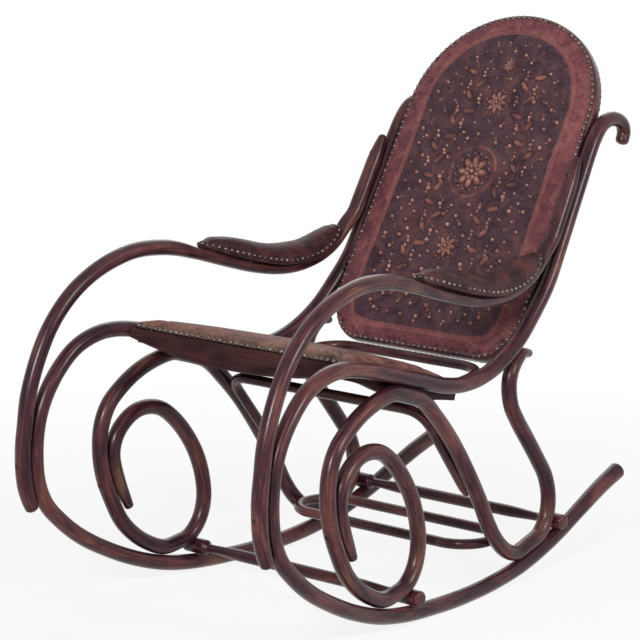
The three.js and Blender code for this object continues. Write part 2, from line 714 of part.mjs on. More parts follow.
// The bow's square ends stand on the rear rail's face, tilted to it as the bow rises.
const rearFacing = new THREE.Vector3(0, 1, 0).applyEuler(seatGroup.rotation);
const bowStart = new THREE.Vector3(0, seatDepth, -seat.sideRearHeight / 2)
  .applyEuler(seatGroup.rotation).add(seatGroup.position);
const bowLean = bowBack.clone().sub(bowStart).normalize().cross(rearFacing).length();
bowStart.addScaledVector(rearFacing, chair.clearance + bow.radius * bowLean);
bowStart.x = innerHalf(seatDepth) - bow.inset;
const bowCorner = new THREE.Vector3(bowStart.x, bowBack.y, bowBack.z);
const bowPlane = bowCorner.clone().sub(bowStart).normalize();
const bowNormal = new THREE.Vector3(1, 0, 0).cross(bowPlane).normalize();
const bowRodPath = bowPath(bowStart, bowCorner, bow.bend, bow.step);
const bowSection = roundSection(bow.radius, bow.sides);
addPiece("rear_bow", carriedSection(bowRodPath, bowNormal, bowSection, () => 1), "wood");

// Arm pads: a wooden base strip and a crowned leather pad along the top of each arm

// The arm's own spans under the pad, each halved.
function padPath() {
  const within = armPath.filter((p) => p.y >= pad.startY && p.y <= pad.endY &&
    p.z > chair.frameHeight / 2);
  return within.flatMap((p, i) => (i ? [within[i - 1].clone().lerp(p, 0.5), p] : [p]));
}

// A D-shaped section along the arm's top: flat below, rounded above.
function armTopSolid(low, heightAt, widthAt) {
  const path = padPath();
  const rings = path.map((middle, i) => {
    const share = i / (path.length - 1);
    const inside = frameNormal.clone().cross(directionAt(path, i, false)).normalize();
    const foot = middle.clone().addScaledVector(inside, low);
    return Array.from({ length: pad.around }, (_, k) => {
      const angle = (2 * Math.PI * k) / pad.around;
      const wide = squared(Math.cos(angle), 0.6);
      const high = Math.max(squared(Math.sin(angle), 0.7), 0);
      return foot.clone().addScaledVector(frameNormal, -wide * widthAt(share))
        .addScaledVector(inside, high * heightAt(share));
    });
  });
  return loft(rings);
}
for (const { name, sign } of sides) {
  const frame = new THREE.Group();
  frame.position.x = sign * chair.halfWidth;
  frame.rotation.z = sign * chair.splay;
  group.add(frame);
  const baseLow = pad.flatHeight + chair.clearance;
  addPiece(`arm_pad_base_${name}`, armTopSolid(baseLow, () => pad.baseThickness,
    (share) => pad.baseHalfWidth * bulge(share, 0.3)), "darkWood", frame);
  addPiece(`arm_pad_${name}`, armTopSolid(baseLow + pad.baseThickness + chair.clearance,
    (share) => pad.endHeight + (pad.height - pad.endHeight) * bulge(share, 0.6),
    (share) => pad.halfWidth * bulge(share, 0.4)), "darkLeather", frame);
}

export default group;
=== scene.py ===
# Bentwood rocking chair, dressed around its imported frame: smooth bent rods, a nailed leather
# seat, a tooled leather back and padded arms.
# Metres, +Z up, +Y towards the back of the chair, +X to the sitter's left.
import math
import bpy
import numpy as np
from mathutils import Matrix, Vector
from mathutils.bvhtree import BVHTree


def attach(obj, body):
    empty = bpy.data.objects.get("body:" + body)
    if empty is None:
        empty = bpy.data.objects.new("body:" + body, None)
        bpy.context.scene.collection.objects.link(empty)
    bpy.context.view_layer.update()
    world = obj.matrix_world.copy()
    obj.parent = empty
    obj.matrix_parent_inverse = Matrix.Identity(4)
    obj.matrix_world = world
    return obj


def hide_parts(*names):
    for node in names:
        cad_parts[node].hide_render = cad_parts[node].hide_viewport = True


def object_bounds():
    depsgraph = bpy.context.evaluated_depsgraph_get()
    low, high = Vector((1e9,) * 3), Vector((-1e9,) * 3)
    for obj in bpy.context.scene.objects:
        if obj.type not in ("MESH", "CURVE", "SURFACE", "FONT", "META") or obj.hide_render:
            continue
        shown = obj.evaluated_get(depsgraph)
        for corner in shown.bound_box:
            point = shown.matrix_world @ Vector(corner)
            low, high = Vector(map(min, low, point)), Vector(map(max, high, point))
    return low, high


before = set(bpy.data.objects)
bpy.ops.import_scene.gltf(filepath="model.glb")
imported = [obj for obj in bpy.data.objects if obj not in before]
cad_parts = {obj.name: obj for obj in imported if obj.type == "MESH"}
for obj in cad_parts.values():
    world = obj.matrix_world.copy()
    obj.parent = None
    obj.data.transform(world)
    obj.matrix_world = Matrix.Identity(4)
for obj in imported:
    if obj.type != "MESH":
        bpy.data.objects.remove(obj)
cadLow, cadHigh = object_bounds()
scene = bpy.context.scene

# An object that holds the given data, put into the scene.
def linked(name, data):
    made = bpy.data.objects.new(name, data)
    scene.collection.objects.link(made)
    return made


# Camera, at the photograph's viewing angle
camera = {
    "place": (3.595, -4.166, 1.609),
    "turn": (78.79, 0.0, 41.005),   # degrees
    "lens": 168.75,                 # millimetres, as the sensor's width is
    "sensor": 36,
}
lens = bpy.data.cameras.new("camera")
lens.lens = camera["lens"]
lens.sensor_width = camera["sensor"]
viewer = linked("camera", lens)
viewer.location = camera["place"]
viewer.rotation_euler = [math.radians(angle) for angle in camera["turn"]]
scene.camera = viewer
print("camera placed")


# Meshes from whole arrays

# Each vector divided by its own length.
def unit(vectors):
    return vectors / np.linalg.norm(vectors, axis=-1, keepdims=True)


# Plane points with one height added as their third number.
def atHeight(points, height):
    return np.column_stack([points, np.full(len(points), height)])


# Volume inside the faces, from the triangles of each face's fan seen from the origin.
def signedVolume(points, faces):
    total = 0.0
    for face in faces:
        for k in range(1, face.shape[1] - 1):
            a, b, c = points[face[:, 0]], points[face[:, k]], points[face[:, k + 1]]
            total += float(np.sum(a * np.cross(b, c)))
    return total


# A mesh object from points and arrays of faces with equal counts of corners, facing out.
def solid(name, points, faces, attributes=None, sharp=None):
    if signedVolume(points - points.mean(axis=0), faces) < 0:
        faces = [face[:, ::-1] for face in faces]
    mesh = bpy.data.meshes.new(name)
    corners = np.concatenate([face.ravel() for face in faces])
    sizes = np.concatenate([np.full(len(face), face.shape[1]) for face in faces])
    starts = np.concatenate([[0], np.cumsum(sizes)[:-1]])
    mesh.vertices.add(len(points))
    mesh.vertices.foreach_set("co", points.astype(np.float32).ravel())
    mesh.loops.add(len(corners))
    mesh.loops.foreach_set("vertex_index", corners.astype(np.int32))
    mesh.polygons.add(len(sizes))
    mesh.polygons.foreach_set("loop_start", starts.astype(np.int32))
    mesh.update(calc_edges=True)
    mesh.validate()
    for key, values in (attributes or {}).items():
        field = mesh.attributes.new(key, "FLOAT_VECTOR", "POINT")
        field.data.foreach_set("vector", values.astype(np.float32).ravel())
    mesh.shade_smooth()
    if sharp:
        mesh.set_sharp_from_angle(angle=math.radians(sharp))
    return linked(name, mesh)


# Faces of a grid whose columns go round: cell (i, k) joins row i to row i + 1, and fans
# close the first and last row at the two hub points that follow the grid's points.
def gridFaces(rows, columns, endless=False):
    i = np.arange(rows if endless else rows - 1)[:, None]
    k = np.arange(columns)[None]
    nextRow, nextColumn = (i + 1) % rows * columns, (k + 1) % columns
    row = i * columns
    quads = np.stack([row + k, row + nextColumn, nextRow + nextColumn, nextRow + k], axis=-1)
    faces = [quads.reshape(-1, 4)]
    if not endless:
        k = np.arange(columns)
        nextColumn = (k + 1) % columns
        hub = np.full(columns, rows * columns)
        last = (rows - 1) * columns
        faces.append(np.stack([hub, nextColumn, k], axis=1))
        faces.append(np.stack([hub + 1, last + k, last + nextColumn], axis=1))
    return faces


# A closed solid on a grid of points, with hubs at the middles of its end rows.
def lofted(name, grid, endless=False, attributes=None, sharp=None):
    rows, columns = grid.shape[:2]

    def flat(values):
        hubs = [] if endless else [values[0].mean(axis=0), values[-1].mean(axis=0)]
        return np.vstack([values.reshape(-1, 3), *hubs])

    fields = {key: flat(values) for key, values in (attributes or {}).items()}
    return solid(name, flat(grid), gridFaces(rows, columns, endless), fields, sharp)


# One form set at each of the given places of a piece's own space, its third axis along the
# normal there and the other two square to it.
def planted(name, form, faces, places, normals, place, sharp=None):
    upward = unit(place(places + normals) - place(places))
    helper = np.where(np.abs(upward[:, :1]) < 0.8, [[1.0, 0, 0]], [[0, 0, 1.0]])
    first = unit(np.cross(upward, helper))
    axes = np.stack([first, np.cross(upward, first), upward], axis=1)
    points = place(places)[:, None] + form @ axes
    offsets = (np.arange(len(places)) * len(form))[:, None, None]
    faces = [(face[None] + offsets).reshape(-1, face.shape[1]) for face in faces]
    return solid(name, points.reshape(-1, 3), faces, sharp=sharp)


# Finishing steps that every piece of the object shares.
def finished(piece, material, slot=None, *nodes):
    piece.data.materials.clear()
    piece.data.materials.append(material)
    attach(piece, "root")
    if slot:
        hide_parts(*nodes)


# A lacquered piece in place of the CAD node of its name.
def lacquered(node, grid, grain, endless=False, form="smooth"):
    piece = lofted(f"{form}_{node}", grid, endless, {"grain": grain})
    finished(piece, lacquer, "wood", node)


# Curves

# The length along a path up to each of its points.
def lengthsAlong(path):
    return np.concatenate([[0], np.cumsum(np.linalg.norm(np.diff(path, axis=0), axis=1))])


# Points at equal distances along a polyline, found by their length from its start.
def evenly(line, step=None, count=None):
    lengths = lengthsAlong(line)
    count = count or max(int(round(lengths[-1] / step)), 2)
    at = np.linspace(0, lengths[-1], count + 1)
    return np.stack([np.interp(at, lengths, axis) for axis in line.T], axis=1)


# Centripetal Catmull-Rom curve: between two points a cubic whose end slopes come from the
# neighbours, each span weighed by the square root of its length.
def smoothCurve(points, step):
    p = np.vstack([2 * points[0] - points[1], points, 2 * points[-1] - points[-2]])
    d = np.sqrt(np.linalg.norm(np.diff(p, axis=0), axis=1))[:, None]
    p0, p1, p2, p3 = p[:-3], p[1:-2], p[2:-1], p[3:]
    d0, d1, d2 = d[:-2], d[1:-1], d[2:]
    leave = ((p1 - p0) / d0 - (p2 - p0) / (d0 + d1) + (p2 - p1) / d1) * d1
    arrive = ((p2 - p1) / d1 - (p3 - p1) / (d1 + d2) + (p3 - p2) / d2) * d1
    t = np.linspace(0, 1, 24, endpoint=False)[:, None, None]
    bend = 3 * (p2 - p1) - 2 * leave - arrive
    twist = 2 * (p1 - p2) + leave + arrive
    curve = p1 + leave * t + bend * t**2 + twist * t**3
    line = np.vstack([curve.transpose(1, 0, 2).reshape(-1, points.shape[1]), points[-1:]])
    return evenly(line, step)


# For each point, the nearest point of a path.
def nearestOn(points, path):
    gaps = np.linalg.norm(points[:, None] - path[None], axis=2)
    return path[np.argmin(gaps, axis=1)]


# Points moved to lie one spacing away from a path, on the side where they already are.
def heldAt(points, path, spacing):
    foot = nearestOn(points, path)
    return foot + spacing * unit(points - foot)


# A path pushed off another wherever they come closer than the spacing; each push is
# spread over its neighbours, so that no kink is left.
def keptClear(path, other, spacing, rounds=14):
    moved = path.copy()
    weights = np.array([1, 2, 3, 4, 3, 2, 1]) / 16
    for _ in range(rounds):
        away = moved - nearestOn(moved, other)
        distance = np.linalg.norm(away, axis=1)[:, None]
        push = away / distance * np.maximum(spacing - distance, 0)
        padded = np.pad(push, ((3, 3), (0, 0)), mode="edge")
        spread = np.stack([np.convolve(axis, weights, "valid") for axis in padded.T], axis=1)
        moved += np.maximum(np.abs(spread), np.abs(push)) * np.sign(push + spread)
    return moved


# Unit directions along a path, from each point's neighbours.
def directions(path, endless=False):
    if endless:
        return unit(np.roll(path, -1, axis=0) - np.roll(path, 1, axis=0))
    return unit(np.gradient(path, axis=0))


# A section carried along a path in one plane: each row is the section's points, scaled,
# laid out along the plane's inside direction and across the plane. Where flats gives a
# height, the section is planed flat there.
def carried(path, across, section, sizes=1.0, endless=False, flats=None):
    across = np.asarray(across, float)
    inside = unit(np.cross(across, directions(path, endless)))
    rows = section[None] * np.broadcast_to(sizes, len(path))[:, None, None]
    u, v = rows[..., :1], rows[..., 1:]
    if flats is not None:
        u = np.minimum(u, flats[:, None, None])
    return path[:, None] + u * inside[:, None] + v * across


# A circle's points, by cosine and sine of equal angles.
def circle(radius, sides):
    angles = np.arange(sides) * 2 * np.pi / sides
    return radius * np.stack([np.cos(angles), np.sin(angles)], axis=1)


# Wood grain coordinates for a carried section: the section's own place, and the length
# along the path as the third, shifted by a seed.
def grainAlong(path, section, seed=0.0):
    grid = np.empty((len(path), len(section), 3))
    grid[..., :2] = section
    grid[..., 2] = lengthsAlong(path)[:, None]
    return grid + [seed, -seed, seed]


# Values joined from knot to knot by half cosines.
def smoothRise(at, knots):
    places, values = np.array(knots).T
    span = np.clip(np.searchsorted(places, at, side="right") - 1, 0, len(places) - 2)
    share = (at - places[span]) / (places[span + 1] - places[span])
    return values[span] + (values[span + 1] - values[span]) * (1 - np.cos(np.pi * share)) / 2


# How much a hand-bent rod's thickness wavers: the share, and the waves' angle per metre.
waver = {"slow": (0.008, 21), "quick": (0.006, 53)}


# A rod along a path: it thins down to each tip over a taper by a quarter sine, and ends
# in a round dome. flatAt gives the height of a planed flat for each place on the path.
def rodGrid(path, across, radius, ends, sides, seed, flatAt=None):
    lengths = lengthsAlong(path)

    def thin(distance, end):
        tip, taper = end[:2]
        return tip + (1 - tip) * np.sin(np.minimum(distance / taper, 1) * np.pi / 2)

    sizes = thin(lengths, ends[0]) * thin(lengths[-1] - lengths, ends[1])
    sizes *= 1 + sum(share * np.sin(lengths * pace + order * seed)
                     for order, (share, pace) in enumerate(waver.values(), 1))
    turns = np.radians([15, 32, 48, 63, 76, 85])[:, None]
    way = directions(path)
    first = path[0] - way[0] * radius * ends[0][2] * sizes[0] * np.sin(turns)
    last = path[-1] + way[-1] * radius * ends[1][2] * sizes[-1] * np.sin(turns)
    widths = np.cos(turns)[:, 0]
    path = np.vstack([first[::-1], path, last])
    sizes = np.concatenate([sizes[0] * widths[::-1], sizes, sizes[-1] * widths])
    section = circle(radius, sides)
    flats = flatAt(path) if flatAt else None
    return carried(path, across, section, sizes, flats=flats), grainAlong(path, section, seed)


# Materials

# A colour written as six hex digits, as the linear values that a shader takes.
def tint(code):
    share = np.array([int(code[i:i + 2], 16) for i in (0, 2, 4)]) / 255
    linear = np.where(share <= 0.04045, share / 12.92, ((share + 0.055) / 1.055) ** 2.4)
    return (*linear, 1.0)


# A node with its settings and its inputs, each either a plain value or another's output.
def addNode(tree, kind, inputs=None, **settings):
    node = tree.nodes.new("ShaderNode" + kind)
    for key, value in settings.items():
        setattr(node, key, value)
    for key, value in (inputs or {}).items():
        if isinstance(value, bpy.types.NodeSocket):
            tree.links.new(value, node.inputs[key])
        else:
            node.inputs[key].default_value = value
    return node


# Uneven cloudiness from 0 to 1 at a place.
def noise(tree, place, scale, detail=4.0, rough=0.5, warp=0.0):
    return addNode(tree, "TexNoise", {
        "Vector": place, "Scale": scale, "Detail": detail, "Roughness": rough,
        "Distortion": warp}).outputs[0]


# A value turned into a colour along stops of (place, colour code).
def ramp(tree, value, stops):
    node = addNode(tree, "ValToRGB", {0: value})
    elements = node.color_ramp.elements
    while len(elements) < len(stops):
        elements.new(0.5)
    for element, (place, code) in zip(elements, stops):
        element.position = place
        element.color = tint(code)
    return node.outputs[0]


# Two colours mixed by a share.
def mixed(tree, share, a, b, way="MIX"):
    node = addNode(tree, "Mix", {0: share, 6: a, 7: b}, data_type="RGBA", blend_type=way)
    return node.outputs[2]


# A value between low and high carried over to between toLow and toHigh.
def ranged(tree, value, low, high, toLow, toHigh):
    return addNode(tree, "MapRange", {
        0: value, 1: low, 2: high, 3: toLow, 4: toHigh}).outputs[0]


# Two values joined by a sum, or in another way.
def summed(tree, a, b, way="ADD"):
    return addNode(tree, "Math", {0: a, 1: b}, operation=way).outputs[0]


def times(tree, a, b):
    return summed(tree, a, b, "MULTIPLY")


# Two values added, each times its own share.
def weighed(tree, a, b, shares):
    return summed(tree, times(tree, a, shares[0]), times(tree, b, shares[1]))


# The tree of a material or a world, cleared.
def emptied(owner):
    owner.use_nodes = True
    owner.node_tree.nodes.clear()
    return owner.node_tree


# A material with its shader and its tree; the shader's plain inputs come from a table.
def blankMaterial(name, plain):
    material = bpy.data.materials.new(name)
    tree = emptied(material)
    shader = addNode(tree, "BsdfPrincipled", plain)
    addNode(tree, "OutputMaterial", {"Surface": shader.outputs[0]})
    return material, tree, shader


# The shader's colour, roughness and, from a height, its bumps.
def dressed(tree, shader, colour, roughness, height=None, strength=0.0, distance=0.0):
    tree.links.new(colour, shader.inputs["Base Color"])
    tree.links.new(roughness, shader.inputs["Roughness"])
    if height:
        raised = addNode(tree, "Bump", {
            "Height": height, "Strength": strength, "Distance": distance})
        tree.links.new(raised.outputs[0], shader.inputs["Normal"])


# Lacquered bent wood: streaks stretched along the grain, broad dark and worn patches, and
# a thin hard coat. Scales are in waves per metre.
wood = {
    "dark": "150710",
    "middle": "391c26",
    "light": "663a37",
    "wornAndSheen": "8a6148",
    "wornShare": 0.8,
    "shine": 0.1,
    "coat": 0.75,
    "coatRoughness": 0.22,
    "gloss": (0.3, 0.42),      # roughness where polished, and where rubbed
}
woodGrain = {
    "warmth": (1.0, 0.84, 0.62, 1.0),   # tint of the wood's own shine
    "coatIndex": 1.26,
    "fineStretch": 0.035,
    "broadStretch": 0.25,
    "streaks": 420,
    "patches": 34,
    "wearAndGlint": 15,
    "pores": 1500,
    "shares": (0.5, 0.6),      # of streaks and patches in the colour
    "stops": (0.39, 0.54, 0.69),
    "relief": (0.2, 0.0006),
}


def woodMaterial(name, look):
    material, tree, shader = blankMaterial(name, {
        "Coat Weight": look["coat"], "Coat Roughness": look["coatRoughness"],
        "Coat IOR": woodGrain["coatIndex"], "Specular IOR Level": look["shine"],
        "Specular Tint": woodGrain["warmth"]})
    place = addNode(tree, "Attribute", attribute_name="grain").outputs["Vector"]
    fine, broad = [
        addNode(tree, "Mapping", {"Vector": place, "Scale": (1, 1, woodGrain[key])}).outputs[0]
        for key in ("fineStretch", "broadStretch")]
    streaks = noise(tree, fine, woodGrain["streaks"], 6, 0.62)
    patches = noise(tree, broad, woodGrain["patches"], 4, 0.55, 0.4)
    stops = list(zip(woodGrain["stops"], (look["dark"], look["middle"], look["light"])))
    colour = ramp(tree, weighed(tree, streaks, patches, woodGrain["shares"]), stops)
    wearAndGlint = noise(tree, broad, woodGrain["wearAndGlint"], 5, 0.6, 0.8)
    wearAndGlint = ranged(tree, wearAndGlint, 0.56, 0.74, 0, look["wornShare"])
    wearAndGlint = times(tree, wearAndGlint, ranged(tree, streaks, 0.35, 0.6, 0.3, 1))
    colour = mixed(tree, wearAndGlint, colour, tint(look["wornAndSheen"]))
    pores = noise(tree, fine, woodGrain["pores"], 3, 0.6)
    pores = ranged(tree, pores, 0.3, 0.5, 0.6, 1)
    dressed(tree, shader, mixed(tree, 1.0, colour, pores, "MULTIPLY"),
            ranged(tree, patches, 0.3, 0.7, *look["gloss"]), streaks, *woodGrain["relief"])
    return material


lacquer = woodMaterial("lacquer", wood)
stain = woodMaterial("stain", {
    "dark": "170a0d", "middle": "301b20", "light": "482a28", "wornAndSheen": "5a382e",
    "wornShare": 0.4, "shine": 0.1, "coat": 0.0, "coatRoughness": 0.3,
    "gloss": (0.4, 0.56)})


# How leather is mottled, speckled and pebbled, on the soft pieces and on the tooled back.
softGrain = {
    "mottle": (26, 6, 0.62, 0.6),
    "speckle": 190,
    "shares": (0.65, 0.38),    # of the two in the colour
    "pebbles": 1100,
    "speckleRelief": 1.2,
    "relief": (0.4, 0.0007),
}
tooledGrain = {
    "mottle": (30, 6, 0.62, 0.8),
    "speckle": 230,
    "shares": (0.62, 0.4),
    "pebbles": 1250,
    "speckleRelief": 1.3,
    "relief": (0.45, 0.0006),
}


# The three numbers of a vector attribute.
def threeShares(tree, name):
    field = addNode(tree, "Attribute", attribute_name=name).outputs["Vector"]
    return addNode(tree, "SeparateXYZ", {0: field}).outputs


# A leather: the colour comes from a function of the tree, the mottling, the speckles and
# both together.
def leatherMaterial(name, look, grain, colouring):
    material, tree, shader = blankMaterial(name, {
        "Specular IOR Level": look["shine"], "Specular Tint": (1.0, 0.88, 0.74, 1.0)})
    place = addNode(tree, "TexCoord").outputs["Object"]
    mottle = noise(tree, place, *grain["mottle"])
    speckle = noise(tree, place, grain["speckle"], 5, 0.6)
    both = weighed(tree, mottle, speckle, grain["shares"])
    pebbles = addNode(tree, "TexVoronoi", {"Vector": place, "Scale": grain["pebbles"]})
    height = summed(tree, pebbles.outputs[0], times(tree, speckle, grain["speckleRelief"]))
    dressed(tree, shader, colouring(tree, look, place, mottle, speckle, both),
            ranged(tree, mottle, 0.3, 0.7, *look["gloss"]), height, *grain["relief"])
    return material


# Worn leather: mottled colour, and a darker colour where an attribute marks the leather's lower
# band.
def wornColour(tree, look, place, mottle, speckle, both):
    lowDarkening = addNode(tree, "Attribute", attribute_name="lowDarkening").outputs["Fac"]
    lowDarkening = times(tree, lowDarkening, ranged(tree, speckle, 0.3, 0.65, 1, 0.55))
    return mixed(tree, lowDarkening, ramp(tree, both, look["stops"]), tint(look["lowDark"]))


seatLeather = leatherMaterial("seat_leather", {
    "stops": [(0.38, "422625"), (0.5, "6c4641"), (0.64, "98705f")], "lowDark": "483e35",
    "gloss": (0.42, 0.6), "shine": 0.14}, softGrain, wornColour)
armLeather = leatherMaterial("arm_leather", {
    "stops": [(0.38, "1d1014"), (0.52, "3a2226"), (0.68, "5e3530")], "lowDark": "1b1413",
    "gloss": (0.3, 0.48), "shine": 0.12}, softGrain, wornColour)
plainLeather = leatherMaterial("plain_leather", {
    "stops": [(0.36, "4c3327"), (0.52, "6b4a37"), (0.68, "84624b")], "lowDark": "35261d",
    "gloss": (0.58, 0.76), "shine": 0.12}, softGrain, wornColour)

tooled = {
    "field": [(0.36, "2b1c23"), (0.5, "45303a"), (0.66, "604547")],
    "blotch": "6a4442",
    "blotches": (13, 6, 0.66, 1.5),
    "border": [(0.36, "4b2931"), (0.5, "6e3e45"), (0.66, "925e58")],
    "body": [(0.36, "4c2c31"), (0.5, "704440"), (0.64, "925f53")],
    # the colour of the painted highlight on the motifs' tops
    "top": "f0bfab",
    "outline": "170f12",
    "line": "95605a",
    "stain": "20121a",
    "gloss": (0.38, 0.58),
    "shine": 0.14,
}


# Tooled leather. The tooling attribute holds the shares of the border, the tooled lines and
# the stains at each point, and the relief attribute those of the motifs' bodies, the painted
# highlights on their tops and the dark outlines round them.
def tooledColour(tree, look, place, mottle, speckle, both):
    border, line, stained = threeShares(tree, "tooling")
    body, top, outline = threeShares(tree, "relief")
    blotches = ranged(tree, noise(tree, place, *look["blotches"]), 0.52, 0.7, 0, 0.8)
    field = mixed(tree, blotches, ramp(tree, both, look["field"]), tint(look["blotch"]))
    # speckles that break up the painted highlight and the tooled lines
    wornAndSheen = ranged(tree, speckle, 0.35, 0.6, 0.4, 1)
    colour = mixed(tree, border, field, ramp(tree, both, look["border"]))
    colour = mixed(tree, times(tree, outline, 0.85), colour, tint(look["outline"]))
    colour = mixed(tree, body, colour, ramp(tree, mottle, look["body"]))
    # the painted highlight on the motifs' tops, broken up by speckles
    colour = mixed(tree, times(tree, top, wornAndSheen), colour, tint(look["top"]))
    colour = mixed(tree, times(tree, line, wornAndSheen), colour, tint(look["line"]))
    return mixed(tree, stained, colour, tint(look["stain"]))


tooledLeather = leatherMaterial("tooled_leather", tooled, tooledGrain, tooledColour)


# Old metal: dark and light patches, rougher where light.
def metalMaterial(name, dark, light, rough):
    material, tree, shader = blankMaterial(name, {"Metallic": 1.0})
    patches = noise(tree, addNode(tree, "TexCoord").outputs["Object"], 120, 4, 0.6)
    dressed(tree, shader, ramp(tree, patches, [(0.35, dark), (0.65, light)]),
            ranged(tree, patches, 0.3, 0.7, rough, rough + 0.2))
    return material


nailMetal = metalMaterial("nail_metal", "2a2526", "7c7470", 0.28)
screwMetal = metalMaterial("screw_metal", "2c2220", "5c4a40", 0.4)
print("materials made")


# Side frames: the rods' middles in the frame's own plane, as depth and height

chair = {
    "frameDepth": 1.120,
    "frameHeight": 0.860,
    "halfWidth": 0.264,
    "splay": 0.05,
    "rodRadius": 0.015,
    "clearance": 0.0003,
    "step": 0.006,         # along a rod from row to row
    "sides": 26,
}
spacing = 2 * chair["rodRadius"] + chair["clearance"]

sideRailShares = [
    [0.537, 0.161], [0.483, 0.137], [0.42, 0.103], [0.358, 0.069], [0.296, 0.041],
    [0.223, 0.0175], [0.143, 0.0045], [0.0625, 0], [-0.018, 0.0025], [-0.098, 0.0105],
    [-0.162, 0.026], [-0.223, 0.052], [-0.284, 0.088], [-0.343, 0.132], [-0.3875, 0.179],
    [-0.418, 0.223], [-0.434, 0.273], [-0.4385, 0.331], [-0.434, 0.392], [-0.419, 0.449],
    [-0.39, 0.504], [-0.35, 0.549], [-0.3035, 0.571], [-0.259, 0.574], [-0.205, 0.562],
    [-0.1375, 0.538], [-0.057, 0.507], [0.009, 0.482], [0.0625, 0.472], [0.112, 0.476],
    [0.166, 0.496], [0.22, 0.535], [0.268, 0.59], [0.309, 0.649], [0.349, 0.738],
    [0.394, 0.84], [0.4286, 0.918], [0.446, 0.951], [0.465, 0.975], [0.489, 0.985],
    [0.514, 0.982], [0.532, 0.969], [0.538, 0.95], [0.533, 0.932],
]
armShares = [
    [-0.447, 0.224], [-0.456, 0.2756], [-0.463, 0.337], [-0.461, 0.402], [-0.452, 0.465],
    [-0.43, 0.542], [-0.4, 0.609], [-0.357, 0.666], [-0.308, 0.7047], [-0.2545, 0.729],
    [-0.205, 0.739], [-0.138, 0.733], [-0.0714, 0.7125], [0, 0.684], [0.067, 0.6595],
    [0.125, 0.6455], [0.1786, 0.6445], [0.2277, 0.6575], [0.2634, 0.6805], [0.291, 0.7115],
    [0.316, 0.75], [0.344, 0.802], [0.368, 0.85], [0.392, 0.905],
]
armBolted = [0, 1, 2, 3, 20, 21, 22, 23]
innerCoilShares = [
    [-0.2375, 0.172], [-0.259, 0.2407], [-0.27, 0.291], [-0.265, 0.327], [-0.25, 0.356],
    [-0.223, 0.38], [-0.1946, 0.387], [-0.1607, 0.378], [-0.1295, 0.349], [-0.098, 0.302],
    [-0.075, 0.25], [-0.0616, 0.192], [-0.06, 0.145], [-0.0714, 0.102], [-0.0946, 0.072],
]
innerBolted = [0, 1, 2]
outerCoilShares = [
    [-0.124, 0.0625], [-0.155, 0.0608], [-0.188, 0.0765], [-0.221, 0.104], [-0.252, 0.145],
    [-0.275, 0.2], [-0.291, 0.2523], [-0.298, 0.308], [-0.294, 0.366], [-0.277, 0.4116],
    [-0.2455, 0.4465], [-0.2107, 0.472], [-0.1696, 0.4895], [-0.125, 0.493],
    [-0.085, 0.484], [-0.049, 0.4616], [-0.0134, 0.42], [0.034, 0.352], [0.0714, 0.286],
    [0.11, 0.209], [0.139, 0.141], [0.1634, 0.099], [0.1946, 0.066], [0.225, 0.0535],
    [0.259, 0.058], [0.29, 0.076], [0.3125, 0.11], [0.3188, 0.156], [0.308, 0.207],
    [0.283, 0.2535], [0.25, 0.308], [0.2196, 0.358], [0.2018, 0.395], [0.1955, 0.436],
    [0.2, 0.465], [0.214, 0.488], [0.234, 0.503], [0.252, 0.5],
]
outerBolted = [1, 13, 14, 23, 24, 35]


# Shares of the frame's depth and height as places in its plane.
def placed(shares):
    size = np.array([chair["frameDepth"], chair["frameHeight"]])
    return np.array(shares, float) * size + [0, chair["rodRadius"]]


# A rod's points, with those that are bolted against another rod held at one spacing.
def bolted(shares, held, path):
    points = placed(shares)
    points[held] = heldAt(points[held], path, spacing)
    return points


railPath = smoothCurve(placed(sideRailShares), chair["step"])
armPath = keptClear(smoothCurve(bolted(armShares, armBolted, railPath), chair["step"]),
                    railPath, spacing)
outerPoints = bolted(outerCoilShares, outerBolted, railPath)
innerPoints = bolted(innerCoilShares, innerBolted, smoothCurve(outerPoints, chair["step"]))
scrollPath = keptClear(smoothCurve(np.vstack([innerPoints, outerPoints]), chair["step"]),
                       railPath, spacing)
coilTop = innerPoints[6]
innerCount = int(np.argmax(np.linalg.norm(scrollPath - coilTop, axis=1) < chair["step"]))
beyond = scrollPath[innerCount:]
beyond = (beyond[:, 1] < coilTop[1] / 2) & (beyond[:, 0] < outerPoints[2][0])
coilStart = innerCount + int(np.argmax(beyond))
scrollPath[:innerCount] = keptClear(scrollPath[:innerCount], scrollPath[coilStart:], spacing)


# Points of a side frame's own space, x across it, as they stand in the chair.
def inSideFrame(points, sign):
    angle = sign * chair["splay"]
    x, y, z = np.moveaxis(points, -1, 0)
    return np.stack([
        sign * chair["halfWidth"] + x * math.cos(angle) - y * math.sin(angle),
        x * math.sin(angle) + y * math.cos(angle), z], axis=-1)


# A side frame's path of depths and heights as points of its own space.
def planar(path):
    return np.column_stack([np.zeros(len(path)), path])


armPad = {
    "startY": -0.073,
    "endY": 0.320,
    "flatHeight": 0.005,   # flat on the arm above the rod's middle
    "runOut": (0.10, 0.03),   # lengths over which the flat runs out, front and rear
    "halfWidth": 0.0345,
    "baseHalfWidth": 0.022,
    "base": 0.004,
    "heightShares": [      # the pad's height at shares of its length
        (0, 0.020), (0.07, 0.033), (0.16, 0.0365), (0.4, 0.033), (0.65, 0.037),
        (0.86, 0.041), (0.95, 0.038), (1, 0.026)],
    "voxel": 0.004,
    "heldBelow": 0.004,
    "pressure": 5.0,
    "frames": 20,
    "cap": 0.004,
    "sunk": 0.0012,        # of the pad into its base strip, so that no light passes
    "endPower": 0.3,       # how square the pad's ends are from above, and from the side
    "topPower": 0.12,
    "pucker": (0.0014, 0.0044),
    "nailSpacing": 0.0148,
    "nailHeight": 0.0094,
    "nailRadius": 0.0039,
}


